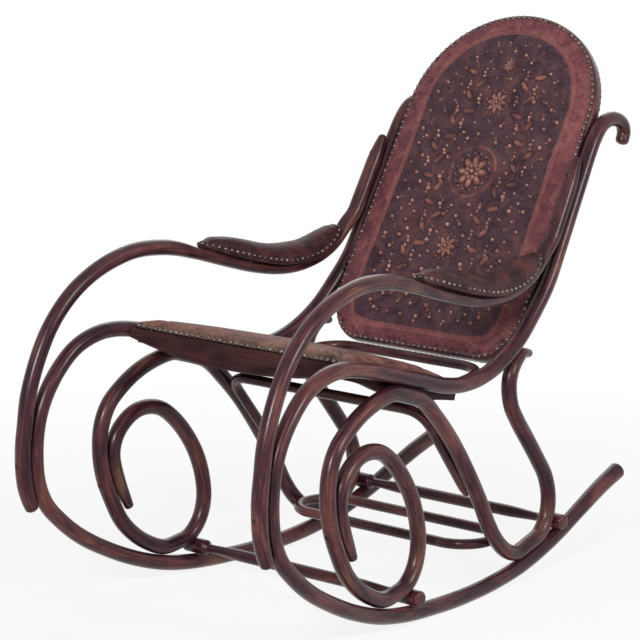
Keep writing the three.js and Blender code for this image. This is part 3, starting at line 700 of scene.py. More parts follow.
# The planed flat on an arm: level under the pad, then rising by a quarter sine until the
# rod is round again.
def armFlat(path):
    front, rear = armPad["runOut"]
    beyond = np.maximum((armPad["startY"] - path[:, 1]) / front,
                        (path[:, 1] - armPad["endY"]) / rear)
    share = np.clip(beyond, 0, 1)
    rise = (chair["rodRadius"] - armPad["flatHeight"]) * np.sin(share * np.pi / 2)
    return np.where(path[:, 2] > chair["frameHeight"] / 2, armPad["flatHeight"] + rise, 1.0)


# Each rod's two ends: the tip's share of the full thickness, the taper's length, and how
# far the end is domed (1 is round).
rodEnds = {
    "side_rail": ((1.1, 0.200, 0.3), (0.87, 0.160, 0.65)),
    "arm_rod": ((0.86, 0.050, 0.6), (0.6, 0.060, 1.0)),
    "scroll_rod": ((0.62, 0.090, 0.6), (0.55, 0.080, 1.0)),
}
rodPaths = {"side_rail": railPath, "arm_rod": armPath, "scroll_rod": scrollPath}
sides = [("left", 1), ("right", -1)]
for name, sign in sides:
    for order, (rod, path) in enumerate(rodPaths.items()):
        grid, grain = rodGrid(planar(path), (1, 0, 0), chair["rodRadius"], rodEnds[rod],
                              chair["sides"], order * 3.1 + sign,
                              armFlat if rod == "arm_rod" else None)
        lacquered(f"{rod}_{name}", inSideFrame(grid, sign), grain)
print("side frames made")


# Distance from the chair's middle to a side frame's middle, at a place along the chair.
def halfWidthAt(y):
    return chair["halfWidth"] - y * math.tan(chair["splay"])


# Cross rods

stretcher = {
    "front": (-0.08809, 0.05263),   # place along the chair, and height
    "rear": (0.37731, 0.09828),
    "endRadius": 0.015,
    "neckRadius": 0.0085,
    "middleRadius": 0.0115,
    "grainRadius": 0.012,
    "overhang": 0.026,
    "endLength": 0.058,
    "edgeRound": 0.006,
    "swellShare": 0.6,     # of the half length that is as thick as the middle
    "sides": 28,
}


# A turned rod: radius against distance from the middle, joined by half cosines, with
# quarter rounds at its ends, and mirrored about the middle.
def turnedRod(node, y, z):
    half = halfWidthAt(y) + stretcher["overhang"]
    neck = half - stretcher["endLength"]
    edge, thick = stretcher["edgeRound"], stretcher["endRadius"]
    knots = [(0, stretcher["middleRadius"]),
             (neck * stretcher["swellShare"], stretcher["middleRadius"]),
             (neck - edge, stretcher["neckRadius"]), (neck + edge, thick),
             (half - edge, thick)]
    at = np.concatenate([np.linspace(0, neck - 2 * edge, 50)[:-1],
                         np.linspace(neck - 2 * edge, neck + 2 * edge, 16)[:-1],
                         np.linspace(neck + 2 * edge, half - edge, 10)])
    turns = np.radians(np.arange(1, 7) * 14.5)
    radius = np.concatenate([smoothRise(at, knots), thick - edge * (1 - np.cos(turns))])
    at = np.concatenate([at, half - edge + edge * np.sin(turns)])
    at, radius = np.concatenate([-at[:0:-1], at]), np.concatenate([radius[:0:-1], radius])
    path = at[:, None] * [1, 0, 0] + [0, y, z]
    section = circle(1.0, stretcher["sides"])
    lacquered(node, carried(path, (0, 0, 1), section, radius),
              grainAlong(path, section * stretcher["grainRadius"], y))


for place in ("front", "rear"):
    turnedRod(f"{place}_stretcher", *stretcher[place])

# A flat oval: two straight runs joined by half circles.
ring = {"y": 0.19227, "z": 0.092, "half": 0.22908, "halfDepth": 0.064, "radius": 0.010,
        "sides": 20}
angles = np.linspace(-np.pi / 2, np.pi / 2, 60)
right = ring["halfDepth"] * np.column_stack([np.cos(angles), np.sin(angles)])
right[:, 0] += ring["half"] - ring["halfDepth"]
oval = evenly(np.vstack([right, -right, right[:1]]), chair["step"])[:-1]
oval = atHeight(oval + [0, ring["y"]], ring["z"])
section = circle(ring["radius"], ring["sides"])
lacquered("ring_stretcher", carried(oval, (0, 0, 1), section, endless=True),
          grainAlong(oval, section, 2.0), True)


# A U of rod: two straight legs joined by a straight back through rounded corners.
def bowPath(foot, corner, bend):
    onLeg = corner + bend * unit(foot - corner)
    onBack = corner - np.array([bend, 0, 0])
    t = np.linspace(0, 1, 24)[:, None]
    curve = onLeg * (1 - t) ** 2 + 2 * corner * t * (1 - t) + onBack * t**2
    half = np.vstack([foot, curve])
    return evenly(np.vstack([half, half[::-1] * [-1, 1, 1]]), chair["step"])


bows = {
    "seat_brace": {
        "foot": (0.23283, 0.11728, 0.203),
        "corner": (0.23983, -0.02251, 0.38234),
        "bend": 0.048,
        "radius": 0.010,
        "tip": 0.8,
    },
    "rear_bow": {
        "foot": (0.20045, 0.07313, 0.39979),
        "corner": (0.20045, 0.22587, 0.41487),
        "bend": 0.075,
        "radius": 0.0095,
        "tip": 0.98,
    },
}
for name, bow in bows.items():
    foot, corner = np.array(bow["foot"]), np.array(bow["corner"])
    end = (bow["tip"], 0.025, 1)
    lacquered(name, *rodGrid(
        bowPath(foot, corner, bow["bend"]), unit(np.cross([1, 0, 0], corner - foot)),
        bow["radius"], (end, end), ring["sides"], bow["bend"] * 40))
print("cross rods made")


# Seat frame: boards drawn level, then tilted back with the seat

seat = {
    "front": (0.0, -0.270, 0.51162),   # middle of the frame's front top edge
    "tilt": 0.28041,
    "depth": 0.35694,
    "board": 0.018,
    "frontRail": 0.026,
    "railEdge": 0.018,
    "railBelly": 0.046,
    "frontRound": 0.005,
    "sideFront": 0.038,
    "sideRear": 0.025,
    "deck": 0.008,
    "deckRound": 0.0015,
    "edgeRound": 0.003,
    "sideBelly": [         # shares of a side board's length and of its depth
        [0.12, 0.1], [0.25, 0.6], [0.4, 1], [0.6, 0.95], [0.75, 0.6], [0.88, 0.25]],
}


# Points turned about the chair's cross axis by an angle, then moved to a place.
def tipped(points, angle, place):
    c, s = math.cos(angle), math.sin(angle)
    x, y, z = np.moveaxis(points, -1, 0)
    return np.stack([x, c * y - s * z, s * y + c * z], axis=-1) + np.array(place)


# Points of the seat's own space, y back from its front edge, as they stand in the chair.
def inSeat(points):
    return tipped(points, -seat["tilt"], seat["front"])


# Half the seat's width between the side rails, at a depth from its front edge.
def seatHalf(depth):
    y = seat["front"][1] + depth * math.cos(seat["tilt"])
    return halfWidthAt(y) - chair["rodRadius"] - chair["clearance"]


# Half the width between the side boards.
def innerHalf(depth):
    return seatHalf(depth) - seat["board"] - 2 * chair["clearance"]


# An outline moved inwards: each corner slides along the mean of its sides' inner normals,
# lengthened so that both sides move by the same distance.
def drawnIn(outline, inset):
    before = unit(outline - np.roll(outline, 1, axis=0))
    after = np.roll(before, -1, axis=0)
    normal = (before + after)[:, ::-1] * [-1, 1]
    return outline + inset * normal / (1 + np.sum(before * after, axis=1))[:, None]


# A board in place of a CAD node: its outline, counter-clockwise, through its thickness,
# with quarter rounds along both faces' edges and one polygon on each face. The grain runs
# along the outline's first axis.
def board(node, outline, thickness, place, slot="dark_wood", edge=seat["edgeRound"]):
    turns = np.radians([0, 30, 60, 90])
    rows = [(edge * (1 - math.sin(t)), edge * (1 - math.cos(t))) for t in turns]
    rows += [(inset, thickness - height) for inset, height in rows[::-1]]
    points = np.vstack([atHeight(drawnIn(outline, inset), height) for inset, height in rows])
    lid = np.arange(len(outline))
    lids = np.stack([lid[::-1], lid + len(points) - len(outline)])
    name = f"round_{node}"
    piece = solid(name, place(points), [gridFaces(len(rows), len(outline))[0], lids],
                  {"grain": points[:, [1, 2, 0]] + len(name) * 0.1}, sharp=40)
    finished(piece, stain, slot, node)


# A rectangle, or another form with two level sides, as a closed outline of evenly spaced
# points, from half its width and its height at the foot and at the top.
def filledIn(lowHalf, low, highHalf, high, step=0.012):
    corners = np.array([[-lowHalf, low], [lowHalf, low], [highHalf, high], [-highHalf, high]])
    runs = []
    for a, b in zip(corners, np.roll(corners, -1, axis=0)):
        count = max(int(np.linalg.norm(b - a) / step), 1)
        runs.append(a + (b - a) * np.linspace(0, 1, count, endpoint=False)[:, None])
    return np.vstack(runs)


# The place of a board that stands across the chair: its thickness runs along the seat,
# from a depth and one way.
def acrossAt(depth, way):
    return lambda points: inSeat(points[:, [0, 2, 1]] * [1, way, 1] + [0, depth, 0])


start = seat["frontRail"] + chair["clearance"]
deepening = seat["sideFront"] - seat["sideRear"]
length, foot = seat["depth"] - start, -seat["sideRear"]
lower = [[start + length * a, foot - deepening * b] for a, b in seat["sideBelly"]]
lower = smoothCurve(np.array([[start, foot], *lower, [seat["depth"], foot]]), 0.01)
sideOutline = np.vstack([lower, evenly(np.array([[seat["depth"], 0], [start, 0]]), 0.012)])
for name, sign in sides:
    def besideRail(points, sign=sign):
        depth, height, inward = points.T
        return inSeat(np.column_stack([sign * (seatHalf(depth) - inward), depth, height]))

    board(f"seat_side_{name}", sideOutline, seat["board"], besideRail)

shares = np.linspace(-1, 1, 61)
belly = (seat["railBelly"] - seat["railEdge"]) * (1 - shares**2)
lower = np.column_stack([shares, -seat["railEdge"] - belly])
outline = np.vstack([lower, lower[::-1] * [1, 0]]) * [seatHalf(seat["frontRail"]), 1]
board("seat_front_rail", outline, seat["frontRail"], acrossAt(seat["frontRail"], -1), "wood",
      seat["frontRound"])

rearStart = seat["depth"] - seat["board"]
half = innerHalf(seat["depth"])
board("seat_rear_rail", filledIn(half, foot, half, 0), seat["board"], acrossAt(rearStart, 1))
deckEnd = rearStart - chair["clearance"]
board("seat_deck", filledIn(innerHalf(start), start, innerHalf(deckEnd), deckEnd),
      seat["deck"], lambda points: inSeat(points - [0, 0, seat["deck"]]),
      edge=seat["deckRound"])
print("seat frame made")


# Nails: low domes, all of one row in one mesh

nail = {
    "radius": 0.0042,
    "height": 0.0028,
    "sides": 10,
    "sunk": 0.0006,
    "pressedIn": 0.0008,   # how far a nail pulls into stuffed leather
}


# Nails on the given places: rings at the cosine and sine of a few angles, closed by a point
# below and one on top.
def nailRow(name, places, normals, place, radius=nail["radius"]):
    below, above = -nail["sunk"], nail["height"]
    rings = [(0, below)] + [(t, above * math.sin(t)) for t in np.radians([0, 32, 62])]
    rim = circle(radius, nail["sides"])
    form = np.vstack([atHeight(rim * math.cos(t), lift) for t, lift in rings]
                     + [[[0, 0, below], [0, 0, above]]])
    row = planted(name, form, gridFaces(len(rings), nail["sides"]), places, normals, place)
    finished(row, nailMetal)


# Stuffed leather: a closed form turned into even small quads, blown up from inside as
# cloth while its lower edge is held, with a cap on how far any point moves.
def stuffed(name, grid, heldHeight, look):
    shape = lofted(name + "_form", grid)
    remesh = shape.modifiers.new("voxels", "REMESH")
    remesh.mode = "VOXEL"
    remesh.voxel_size = look["voxel"]
    shape = baked(shape, name + "_even")
    before = pointsOf(shape)
    held = shape.vertex_groups.new(name="held")
    held.add([int(i) for i in np.nonzero(heldHeight(before) < look["heldBelow"])[0]], 1.0,
             "REPLACE")
    cloth = shape.modifiers.new("cloth", "CLOTH")
    cloth.settings.quality = 4
    cloth.settings.mass = 0.3
    cloth.settings.use_pressure = True
    cloth.settings.uniform_pressure_force = look["pressure"]
    cloth.settings.effector_weights.gravity = 0
    cloth.settings.vertex_group_mass = "held"
    cloth.point_cache.frame_start = 1
    cloth.point_cache.frame_end = look["frames"]
    for step in range(1, look["frames"] + 1):
        scene.frame_set(step)
    evaluated = shape.evaluated_get(bpy.context.evaluated_depsgraph_get())
    moved = pointsOf(evaluated) - before
    shape.modifiers.clear()
    distance = np.maximum(np.linalg.norm(moved, axis=1), 1e-9)[:, None]
    moved *= np.minimum(look["cap"] / distance, 1)
    setPoints(shape, before + moved)
    scene.frame_set(1)
    smooth = shape.modifiers.new("smooth", "SUBSURF")
    smooth.levels = smooth.render_levels = 1
    return baked(shape, name)


# A mesh's points as an array.
def pointsOf(thing):
    values = np.empty(len(thing.data.vertices) * 3, np.float32)
    thing.data.vertices.foreach_get("co", values)
    return values.reshape(-1, 3).astype(float)


def setPoints(thing, points):
    thing.data.vertices.foreach_set("co", points.astype(np.float32).ravel())
    thing.data.update()


# The object with its modifiers worked out into a mesh of its own.
def baked(thing, name):
    mesh = bpy.data.meshes.new_from_object(
        thing.evaluated_get(bpy.context.evaluated_depsgraph_get()))
    mesh.shade_smooth()
    mesh.name = name
    bpy.data.objects.remove(thing)
    return linked(name, mesh)


# Nearest places and outward normals on a mesh, for points beside it.
def onSurface(thing, points):
    mesh = thing.data
    tree = BVHTree.FromPolygons([v.co for v in mesh.vertices],
                                [list(p.vertices) for p in mesh.polygons])
    hits = [tree.find_nearest(Vector(p)) for p in points]
    return np.array([h[0] for h in hits]), np.array([h[1] for h in hits])


# Leather drawn down at each nail by a bell curve, so that it puckers between them.
def puckered(thing, nails, normals, depth, reach):
    points = pointsOf(thing)
    for start in range(0, len(points), 8000):
        gaps = points[start:start + 8000, None] - nails[None]
        pull = np.exp(-np.sum(gaps**2, axis=2) / reach**2)
        points[start:start + 8000] -= depth * pull @ normals
    setPoints(thing, points)


# Sine or cosine made squarer, for rounded sections.
def squared(values, power):
    return np.sign(values) * np.abs(values) ** power


# A rise from zero at both ends of a length; a smaller power makes it squarer.
def bulge(share, power):
    return np.sin(np.pi * np.clip(share, 0.02, 0.98)) ** power


# A bell curve: 1 at zero, and falling with the square of the distance over the width.
def bell(distance, width):
    return np.exp(-(distance / width) ** 2)


seatPad = {
    "inset": 0.0045,
    "corner": 0.010,
    "height": 0.0215,
    "crown": 0.007,
    "endGap": 0.001,
    "squareness": (0.13, 0.2, 0.24),   # powers along the seat, across it and upwards
    "voxel": 0.005,
    "heldBelow": 0.003,
    "pressure": 4.0,
    "frames": 20,
    "cap": 0.005,
    "nailSpacing": 0.0136,
    "nailHeight": 0.0058,
    "nailInset": 0.006,
    "nailCorner": 0.012,
    "nailLean": 0.3,        # share of a nail's upward lean that it keeps
    "pucker": (0.0013, 0.0046),
    "channel": (0.042, 0.0022, 0.0045),   # its inset, depth and width
    "channelFrom": (0.012, 0.006),        # height where it starts, and over what it grows
    "darkenedHeight": 0.013,  # the leather below this is drawn darker towards the bottom
    "lowDark": 1.4,
}


# The pad's own form: squared-off half ovals across the seat, one for each depth.
def seatForm(rows=60, columns=96):
    along = np.linspace(0, 1, rows)[:, None]
    angles = (np.arange(columns) * 2 * np.pi / columns)[None]
    endPower, sidePower, topPower = seatPad["squareness"]
    rise = bulge(along, endPower)
    depth = seatPad["endGap"] + (seat["depth"] - 2 * seatPad["endGap"]) * along
    half = seatHalf(depth) - seatPad["inset"] - seatPad["corner"] * (1 - rise)
    side = squared(np.cos(angles), sidePower)
    high = np.maximum(squared(np.sin(angles), topPower), 0)
    crown = seatPad["crown"] * np.sin(np.pi * along) * (1 - side**2)
    top = (seatPad["height"] * rise + crown) * high
    return np.stack([half * side, np.broadcast_to(depth, top.shape),
                     chair["clearance"] + top], axis=2)


pad = stuffed("leather_seat", seatForm(), lambda p: p[:, 2], seatPad)
points = pointsOf(pad)
across, depth, height = points.T
# the pad drawn darker towards its lower edge, broken up by speckles in the material
lowDarkening = pad.data.attributes.new("lowDarkening", "FLOAT", "POINT")
darkened = np.clip(seatPad["lowDark"] - height / seatPad["darkenedHeight"], 0, 1)
lowDarkening.data.foreach_set("value", darkened.astype(np.float32))
# a sewn channel round the top, inside the edge
inset, deep, wide = seatPad["channel"]
lowest, growth = seatPad["channelFrom"]
edge = np.minimum(seatHalf(depth) - np.abs(across), np.minimum(depth, seat["depth"] - depth))
height -= deep * np.clip((height - lowest) / growth, 0, 1) * bell(edge - inset, wide)
setPoints(pad, points)


# Nail places round the seat's lower edge: the right side from front to back, and the left
# side as its mirror image, with a slanting run at each corner.
def seatNailLine():
    back, cut = seat["depth"], seatPad["nailCorner"]
    a, b = seatHalf(0) - seatPad["nailInset"], seatHalf(back) - seatPad["nailInset"]
    right = np.array([[a - cut, 0], [a, cut], [b, back - cut], [b - cut, back]])
    left = right[::-1] * [-1, 1]
    line = evenly(np.vstack([left[-1:], right, left]), seatPad["nailSpacing"])[:-1]
    return atHeight(line, seatPad["nailHeight"])


places, normals = onSurface(pad, seatNailLine())
normals = unit(normals * [1, 1, seatPad["nailLean"]])
puckered(pad, places, normals, *seatPad["pucker"])
setPoints(pad, inSeat(pointsOf(pad)))
finished(pad, seatLeather, "leather", "seat_pad")
nailRow("seat_nails", places - normals * nail["pressedIn"], normals, inSeat)
print("seat made")


# Back panel: outline in the panel's own space, x across and y up, z out of its front

panel = {
    "place": (0.0, 0.415, 0.692866),
    "lean": 0.5331922,
    "foot": 0.317,
    "shoulder": 0.192,
    "topRise": 0.208,
    "cornerWidth": 0.082,
    "cornerHeight": 0.118,
    "rimWidth": 0.019,
    "rimThickness": 0.024,
    "rimRound": 0.006,
    "leather": 0.0025,
    "edgeInsets": [0.0024, 0.0020, 0.0022, 0.0030],   # the leather's rounded edge, from
    "edgeLifts": [0.0006, 0.0014, 0.0021, 0.0025],    # ring to ring
    "spineEnds": (0.11, 0.12),     # the middle line's distances from foot and top
    "crown": 0.0085,
    "nailInset": 0.0056,
    "nailSpacing": 0.0134,
    "nailSunk": 0.0002,
}
panelFace = panel["rimThickness"] / 2 + chair["clearance"]


# Points of the panel's own space as they stand in the chair.
def inPanel(points):
    return tipped(points, math.pi / 2 - panel["lean"], panel["place"])


# Half the panel's width between the posts at a height up the panel, less an inset.
def panelHalf(upward, inset):
    y = panel["place"][1] + upward * math.sin(panel["lean"])
    return halfWidthAt(y) - chair["rodRadius"] - chair["clearance"] - inset


# The outline drawn in by an inset: quarter ovals at the foot's corners, straight sides,
# and a half oval on top, as points at equal distances from the middle of the foot.
def panelOutline(inset, count):
    cornerTop = -panel["foot"] + panel["cornerHeight"]
    cornerHalf = panelHalf(cornerTop, inset)
    shoulderHalf = panelHalf(panel["shoulder"], inset)
    width, height = panel["cornerWidth"] - inset, panel["cornerHeight"] - inset
    turn = np.linspace(-np.pi / 2, 0, 60)
    foot = np.column_stack([cornerHalf - width + width * np.cos(turn),
                            cornerTop + height * np.sin(turn)])
    turn = np.linspace(0, np.pi / 2, 120)
    top = np.column_stack([shoulderHalf * np.cos(turn),
                           panel["shoulder"] + (panel["topRise"] - inset) * np.sin(turn)])
    right = np.vstack([[0, -panel["foot"] + inset], foot, top])
    left = right[-2::-1] * [-1, 1]
    return evenly(np.vstack([right, left]), count=count)[:-1]


# A rectangle with rounded corners, as a section.
def roundedSection(width, height, radius, steps=5):
    turns = np.radians(np.linspace(0, 90, steps))
    corner = radius * np.stack([np.cos(turns), np.sin(turns)], axis=1)
    w, h = width / 2 - radius, height / 2 - radius
    return np.vstack([corner + [w, h], corner[::-1] * [-1, 1] + [-w, h],
                      -corner + [-w, -h], corner[::-1] * [1, -1] + [w, -h]])


rimLine = atHeight(panelOutline(panel["rimWidth"] / 2, 300), 0)
section = roundedSection(panel["rimWidth"], panel["rimThickness"], panel["rimRound"])
lacquered("back_rim", inPanel(carried(rimLine, (0, 0, 1), section, endless=True)),
          grainAlong(rimLine, section, 5.0), True, "round")


# Rings of a panel sheet: the outline moved in by each row's inset, which may differ round
# the outline, then the last ring shrunk towards an upright spine. Gives x and y of each
# point, and how deep it lies inside the edge.
def sheetRings(insets, inner, count):
    insets = np.broadcast_to(insets, (len(insets), count))
    shallow, deep = 0.002, 0.06
    near, far = panelOutline(shallow, count), panelOutline(deep, count)
    share = ((insets - shallow) / (deep - shallow))[..., None]
    rings = near[None] * (1 - share) + far[None] * share
    last = rings[-1]
    low, high = last[:, 1].min(), last[:, 1].max()
    low, high = low + panel["spineEnds"][0], high - panel["spineEnds"][1]
    spine = np.column_stack([np.zeros(count), np.clip(last[:, 1], low, high)])
    shares = np.linspace(0, 1, inner + 1)[1:, None, None]
    shrunk = last[None] * (1 - shares) + spine[None] * shares
    depth = insets[-1] + shares[:, :, 0] * 0.1
    return np.concatenate([rings, shrunk]), np.concatenate([insets, depth])


# A sheet's solid from its rings and lifts, closed by a flat face behind and welded where
# the innermost ring's two sides meet, on one face of the panel.
def leatherSheet(name, rings, lifts, face, leather, slot, node, shares=None):
    rows, count = rings.shape[:2]
    top = np.concatenate([rings, lifts[..., None]], axis=2)
    under = np.concatenate([rings[:1], np.zeros((1, count, 1))], axis=2)
    points = np.concatenate([under, top]).reshape(-1, 3) + [0, 0, panelFace]
    keys = np.round(points * 1e6).astype(np.int64)
    _, firsts, joined = np.unique(keys, axis=0, return_index=True, return_inverse=True)
    joined = joined.ravel()
    faces = joined[gridFaces(rows + 1, count)[0]]
    whole, tail = faces[:-count * 2], faces[-count * 2:].tolist()
    quads = [f for f in tail if len(set(f)) == 4]
    triangles = [list(dict.fromkeys(f)) for f in tail if len(set(f)) == 3]
    lid = joined[np.arange(count)[::-1]][None]
    faces = [np.vstack([whole, np.array(quads).reshape(-1, 4)]), lid]
    if triangles:
        faces.append(np.array(triangles))
    fields = {key: np.concatenate([values[:1], values]).reshape(-1, 3)[firsts]
              for key, values in (shares or {}).items()}
    sheet = solid(name, points[firsts], faces, fields)
    setPoints(sheet, inPanel(pointsOf(sheet) * [face, 1, face]))
    finished(sheet, leather, slot, node)


# Tooling: generic rosettes, vines, leaves and berries

tooling = {
    "lineSide": 0.052,
    "lineTop": 0.043,
    "lineFoot": 0.038,
    "lineGap": 0.0058,
    "lineWidth": 0.0011,
    "lineDepth": 0.0008,
    "fieldEdge": (0.001, 0.0009),   # where the field begins inside the line, and its blur
    "lattice": 0.0215,
    "latticeJitter": 0.0042,
    "berryGap": 0.0125,
    "vineMiddle": 0.083,
    "vineSwing": 0.021,
    "vineWave": 0.27,
    "vineLow": -0.222,
    "vineHigh": 0.285,
    "vineStep": 0.0285,
    # reach, half length, half width, height, tone
    "leaf": (0.014, 0.0125, 0.0050, 0.0015, 0.12),
    "bunch": [             # each berry's height on the vine, and its radius
        (0.0, 0.0046), (0.0085, 0.0034), (-0.0080, 0.0030)],
    "stemWidth": 0.0014,
    "stemHeight": 0.0009,
    "grooveDepth": 0.0005,
    "ringRadius": 0.053,
    "ringPlace": 0.055,
    "ringWidth": 0.0024,
    "ringShare": 1.3,
    "rosettes": [          # height on the panel, size, tone
        (0.055, 0.040, 0.8), (0.205, 0.027, 0.8), (-0.105, 0.027, 0.8), (-0.2, 0.018, 0.9),
        (0.285, 0.016, 0.9)],
    "petals": [            # count, reach, half length, half width, height, tone, turn
        (8, 0.62, 0.27, 0.16, 0.0017, 0.4, 0.0), (8, 0.33, 0.15, 0.11, 0.0023, 0.6, np.pi / 8),
        (16, 0.98, 0.06, 0.06, 0.0014, 0.8, 0.2), (1, 0, 0.14, 0.14, 0.0030, 1.0, 0.0)],
}


# Rings of ovals round a centre, each pointing outwards. An oval's row is: x, y, half length,
# half width, turn, height, tone.
def rosette(y, size, tone):
    rings = []
    for count, reach, length, width, height, share, turn in tooling["petals"]:
        angles = turn + np.arange(count) * 2 * np.pi / count
        fixed = np.broadcast_to([length * size, width * size], (count, 2))
        rings.append(np.column_stack([
            reach * size * np.cos(angles), y + reach * size * np.sin(angles), fixed, angles,
            np.full(count, height), np.full(count, tone * share)]))
    return np.vstack(rings)


# Berries: round domes, as high as half their radius.
def berries(places, radii, tones):
    return np.column_stack([places, radii, radii, radii * 0, radii * 0.52, tones])


# A vine up one side: the distance from the middle swings as a sine of the height.
def vineAt(y):
    turn = (y + 0.25) * 2 * np.pi / tooling["vineWave"]
    return tooling["vineMiddle"] + tooling["vineSwing"] * np.sin(turn)


# Leaves that stand off the vine on alternate sides, and a bunch of berries across from each.
def vineMotifs(random):
    y = np.arange(tooling["vineLow"], tooling["vineHigh"], tooling["vineStep"])
    x, ones = vineAt(y), np.ones(len(y))
    side = np.where(np.arange(len(y)) % 2, 1, -1)
    away = np.arctan2(0.002, vineAt(y + 0.001) - vineAt(y - 0.001)) - side * 0.95
    reach, length, width, height, tone = tooling["leaf"]
    motifs = [np.column_stack([
        x + reach * np.cos(away), y + reach * np.sin(away), ones * length, ones * width, away,
        ones * height, ones * tone])]
    for centre, radius in tooling["bunch"]:
        places = np.column_stack([x - side * (0.0165 + abs(centre) * 0.3), y + 0.004 + centre])
        places += random.uniform(-0.0012, 0.0012, places.shape)
        radii = radius * random.uniform(0.8, 1.2, len(y))
        motifs.append(berries(places, radii, random.uniform(0.35, 1.0, len(y))))
    return np.vstack(motifs)


# Scattered berries near the places of a diagonal lattice, left out where something else is.
def scattered(taken, random):
    step, jitter = tooling["lattice"], tooling["latticeJitter"]
    i, j = [axis.ravel() for axis in np.meshgrid(np.arange(-9, 10), np.arange(-15, 18))]
    even = (i + j) % 2 == 0
    places = np.column_stack([i[even] * step / 1.25, 0.04 + j[even] * step / 1.1])
    places += random.uniform(-jitter, jitter, places.shape)
    x, y = places.T
    half = panelHalf(y, 0) - tooling["lineSide"] - 0.010
    high = np.maximum(y - panel["shoulder"], 0) / (panel["topRise"] - 0.057)
    low = np.maximum(-0.21 - y, 0) / 0.062
    beyond = np.maximum(high, low)
    inside = (beyond < 1) & (np.abs(x) < half * np.sqrt(np.maximum(1 - beyond**2, 0)))
    gaps = np.linalg.norm(places[:, None] - taken[None], axis=2).min(axis=1)
    places = places[inside & (gaps > tooling["berryGap"])]
    radii = random.uniform(0.0026, 0.0047, len(places)) * (1.12 - 0.5 * places[:, 1])
    main = berries(places, radii, random.choice([0.3, 0.6, 0.85, 1.0], len(places)))
    paired = random.random(len(places)) < 0.45
    turn = random.uniform(0, 2 * np.pi, len(places))
    beside = places + 1.9 * radii[:, None] * np.stack([np.cos(turn), np.sin(turn)], axis=1)
    small = berries(beside, radii * 0.62, random.uniform(0.2, 0.7, len(places)))
    return np.vstack([main, small[paired]])


# All ovals of the panel: rosettes up the middle, a vine on each side, and berries between.
def allMotifs():
    random = np.random.default_rng(11)
    middle = np.vstack([rosette(*values) for values in tooling["rosettes"]])
    right, left = vineMotifs(random), vineMotifs(random)
    left[:, 0] *= -1
    left[:, 4] = np.pi - left[:, 4]
    stems = np.arange(tooling["vineLow"], tooling["vineHigh"], 0.004)
    stemPoints = np.column_stack([vineAt(stems), stems])
    turn = np.linspace(0, 2 * np.pi, 60)
    ringPoints = tooling["ringRadius"] * np.stack([np.cos(turn), np.sin(turn)], axis=1)
    taken = np.vstack([middle[:, :2], right[:, :2], left[:, :2], stemPoints,
                       stemPoints * [-1, 1], ringPoints + [0, tooling["ringPlace"]]])
    return np.vstack([middle, right, left, scattered(taken, random)])


# Heights of the motifs at each point, and the shares of their bodies, the painted highlights
# on their tops and the dark outlines: each oval is a dome, where the highest one counts, in a
# groove of its own, and its tone sets how bright its painted highlight is.
def pressed(points, motifs):
    lift = np.zeros(len(points))
    shares = np.zeros((len(points), 3))
    for x, y, length, width, turn, height, strength in motifs:
        near = np.nonzero((np.abs(points[:, 0] - x) < length * 1.7)
                          & (np.abs(points[:, 1] - y) < length * 1.7))[0]
        dx, dy = points[near, 0] - x, points[near, 1] - y
        along = (dx * math.cos(turn) + dy * math.sin(turn)) / length
        across = (dy * math.cos(turn) - dx * math.sin(turn)) / width
        out = np.hypot(along, across)
        dome = np.sqrt(np.maximum(1 - out**2, 0))
        lift[near] = np.maximum(lift[near], height * dome)
        # a painted highlight on each motif, off its middle towards one side and a little up
        wearAndGlint = np.hypot(along + 0.15, across - 0.2)
        parts = np.stack([np.clip((1.1 - out) / 0.25, 0, 1),
                          strength * np.clip((0.72 - wearAndGlint) / 0.45, 0, 1),
                          np.exp(-((out - 1.22) / 0.24) ** 2)], axis=1)
        shares[near] = np.maximum(shares[near], parts)
    return lift, shares


# How many nails go round a face of the panel.
def nailCount():
    line = panelOutline(panel["nailInset"], 400)
    return int(round(lengthsAlong(line)[-1] / panel["nailSpacing"]))


# Dark stains just inside some of the nails of the panel's foot.
def stains(points, depth):
    random = np.random.default_rng(5)
    line = panelOutline(panel["nailInset"] + 0.0065, nailCount())
    line = line[line[:, 1] < -0.26]
    shares = np.zeros(len(points))
    for place in line[random.random(len(line)) < 0.8]:
        reach = random.uniform(0.0022, 0.0052)
        offset = points - place - random.uniform(-0.003, 0.003, 2)
        shares += random.uniform(0.4, 1.0) * np.exp(-np.sum(offset**2, axis=1) / reach**2)
    return np.clip(shares + np.exp(-np.maximum(depth - 0.003, 0) / 0.0035) * 0.55, 0, 1)


# A sheet's height inside its edge: its crown on the leather's thickness, with the edge's
# own rings rounded.
def sheetLift(crown):
    lift = crown + panel["leather"]
    lift[:4] = np.array(panel["edgeLifts"])[:, None]
    return lift


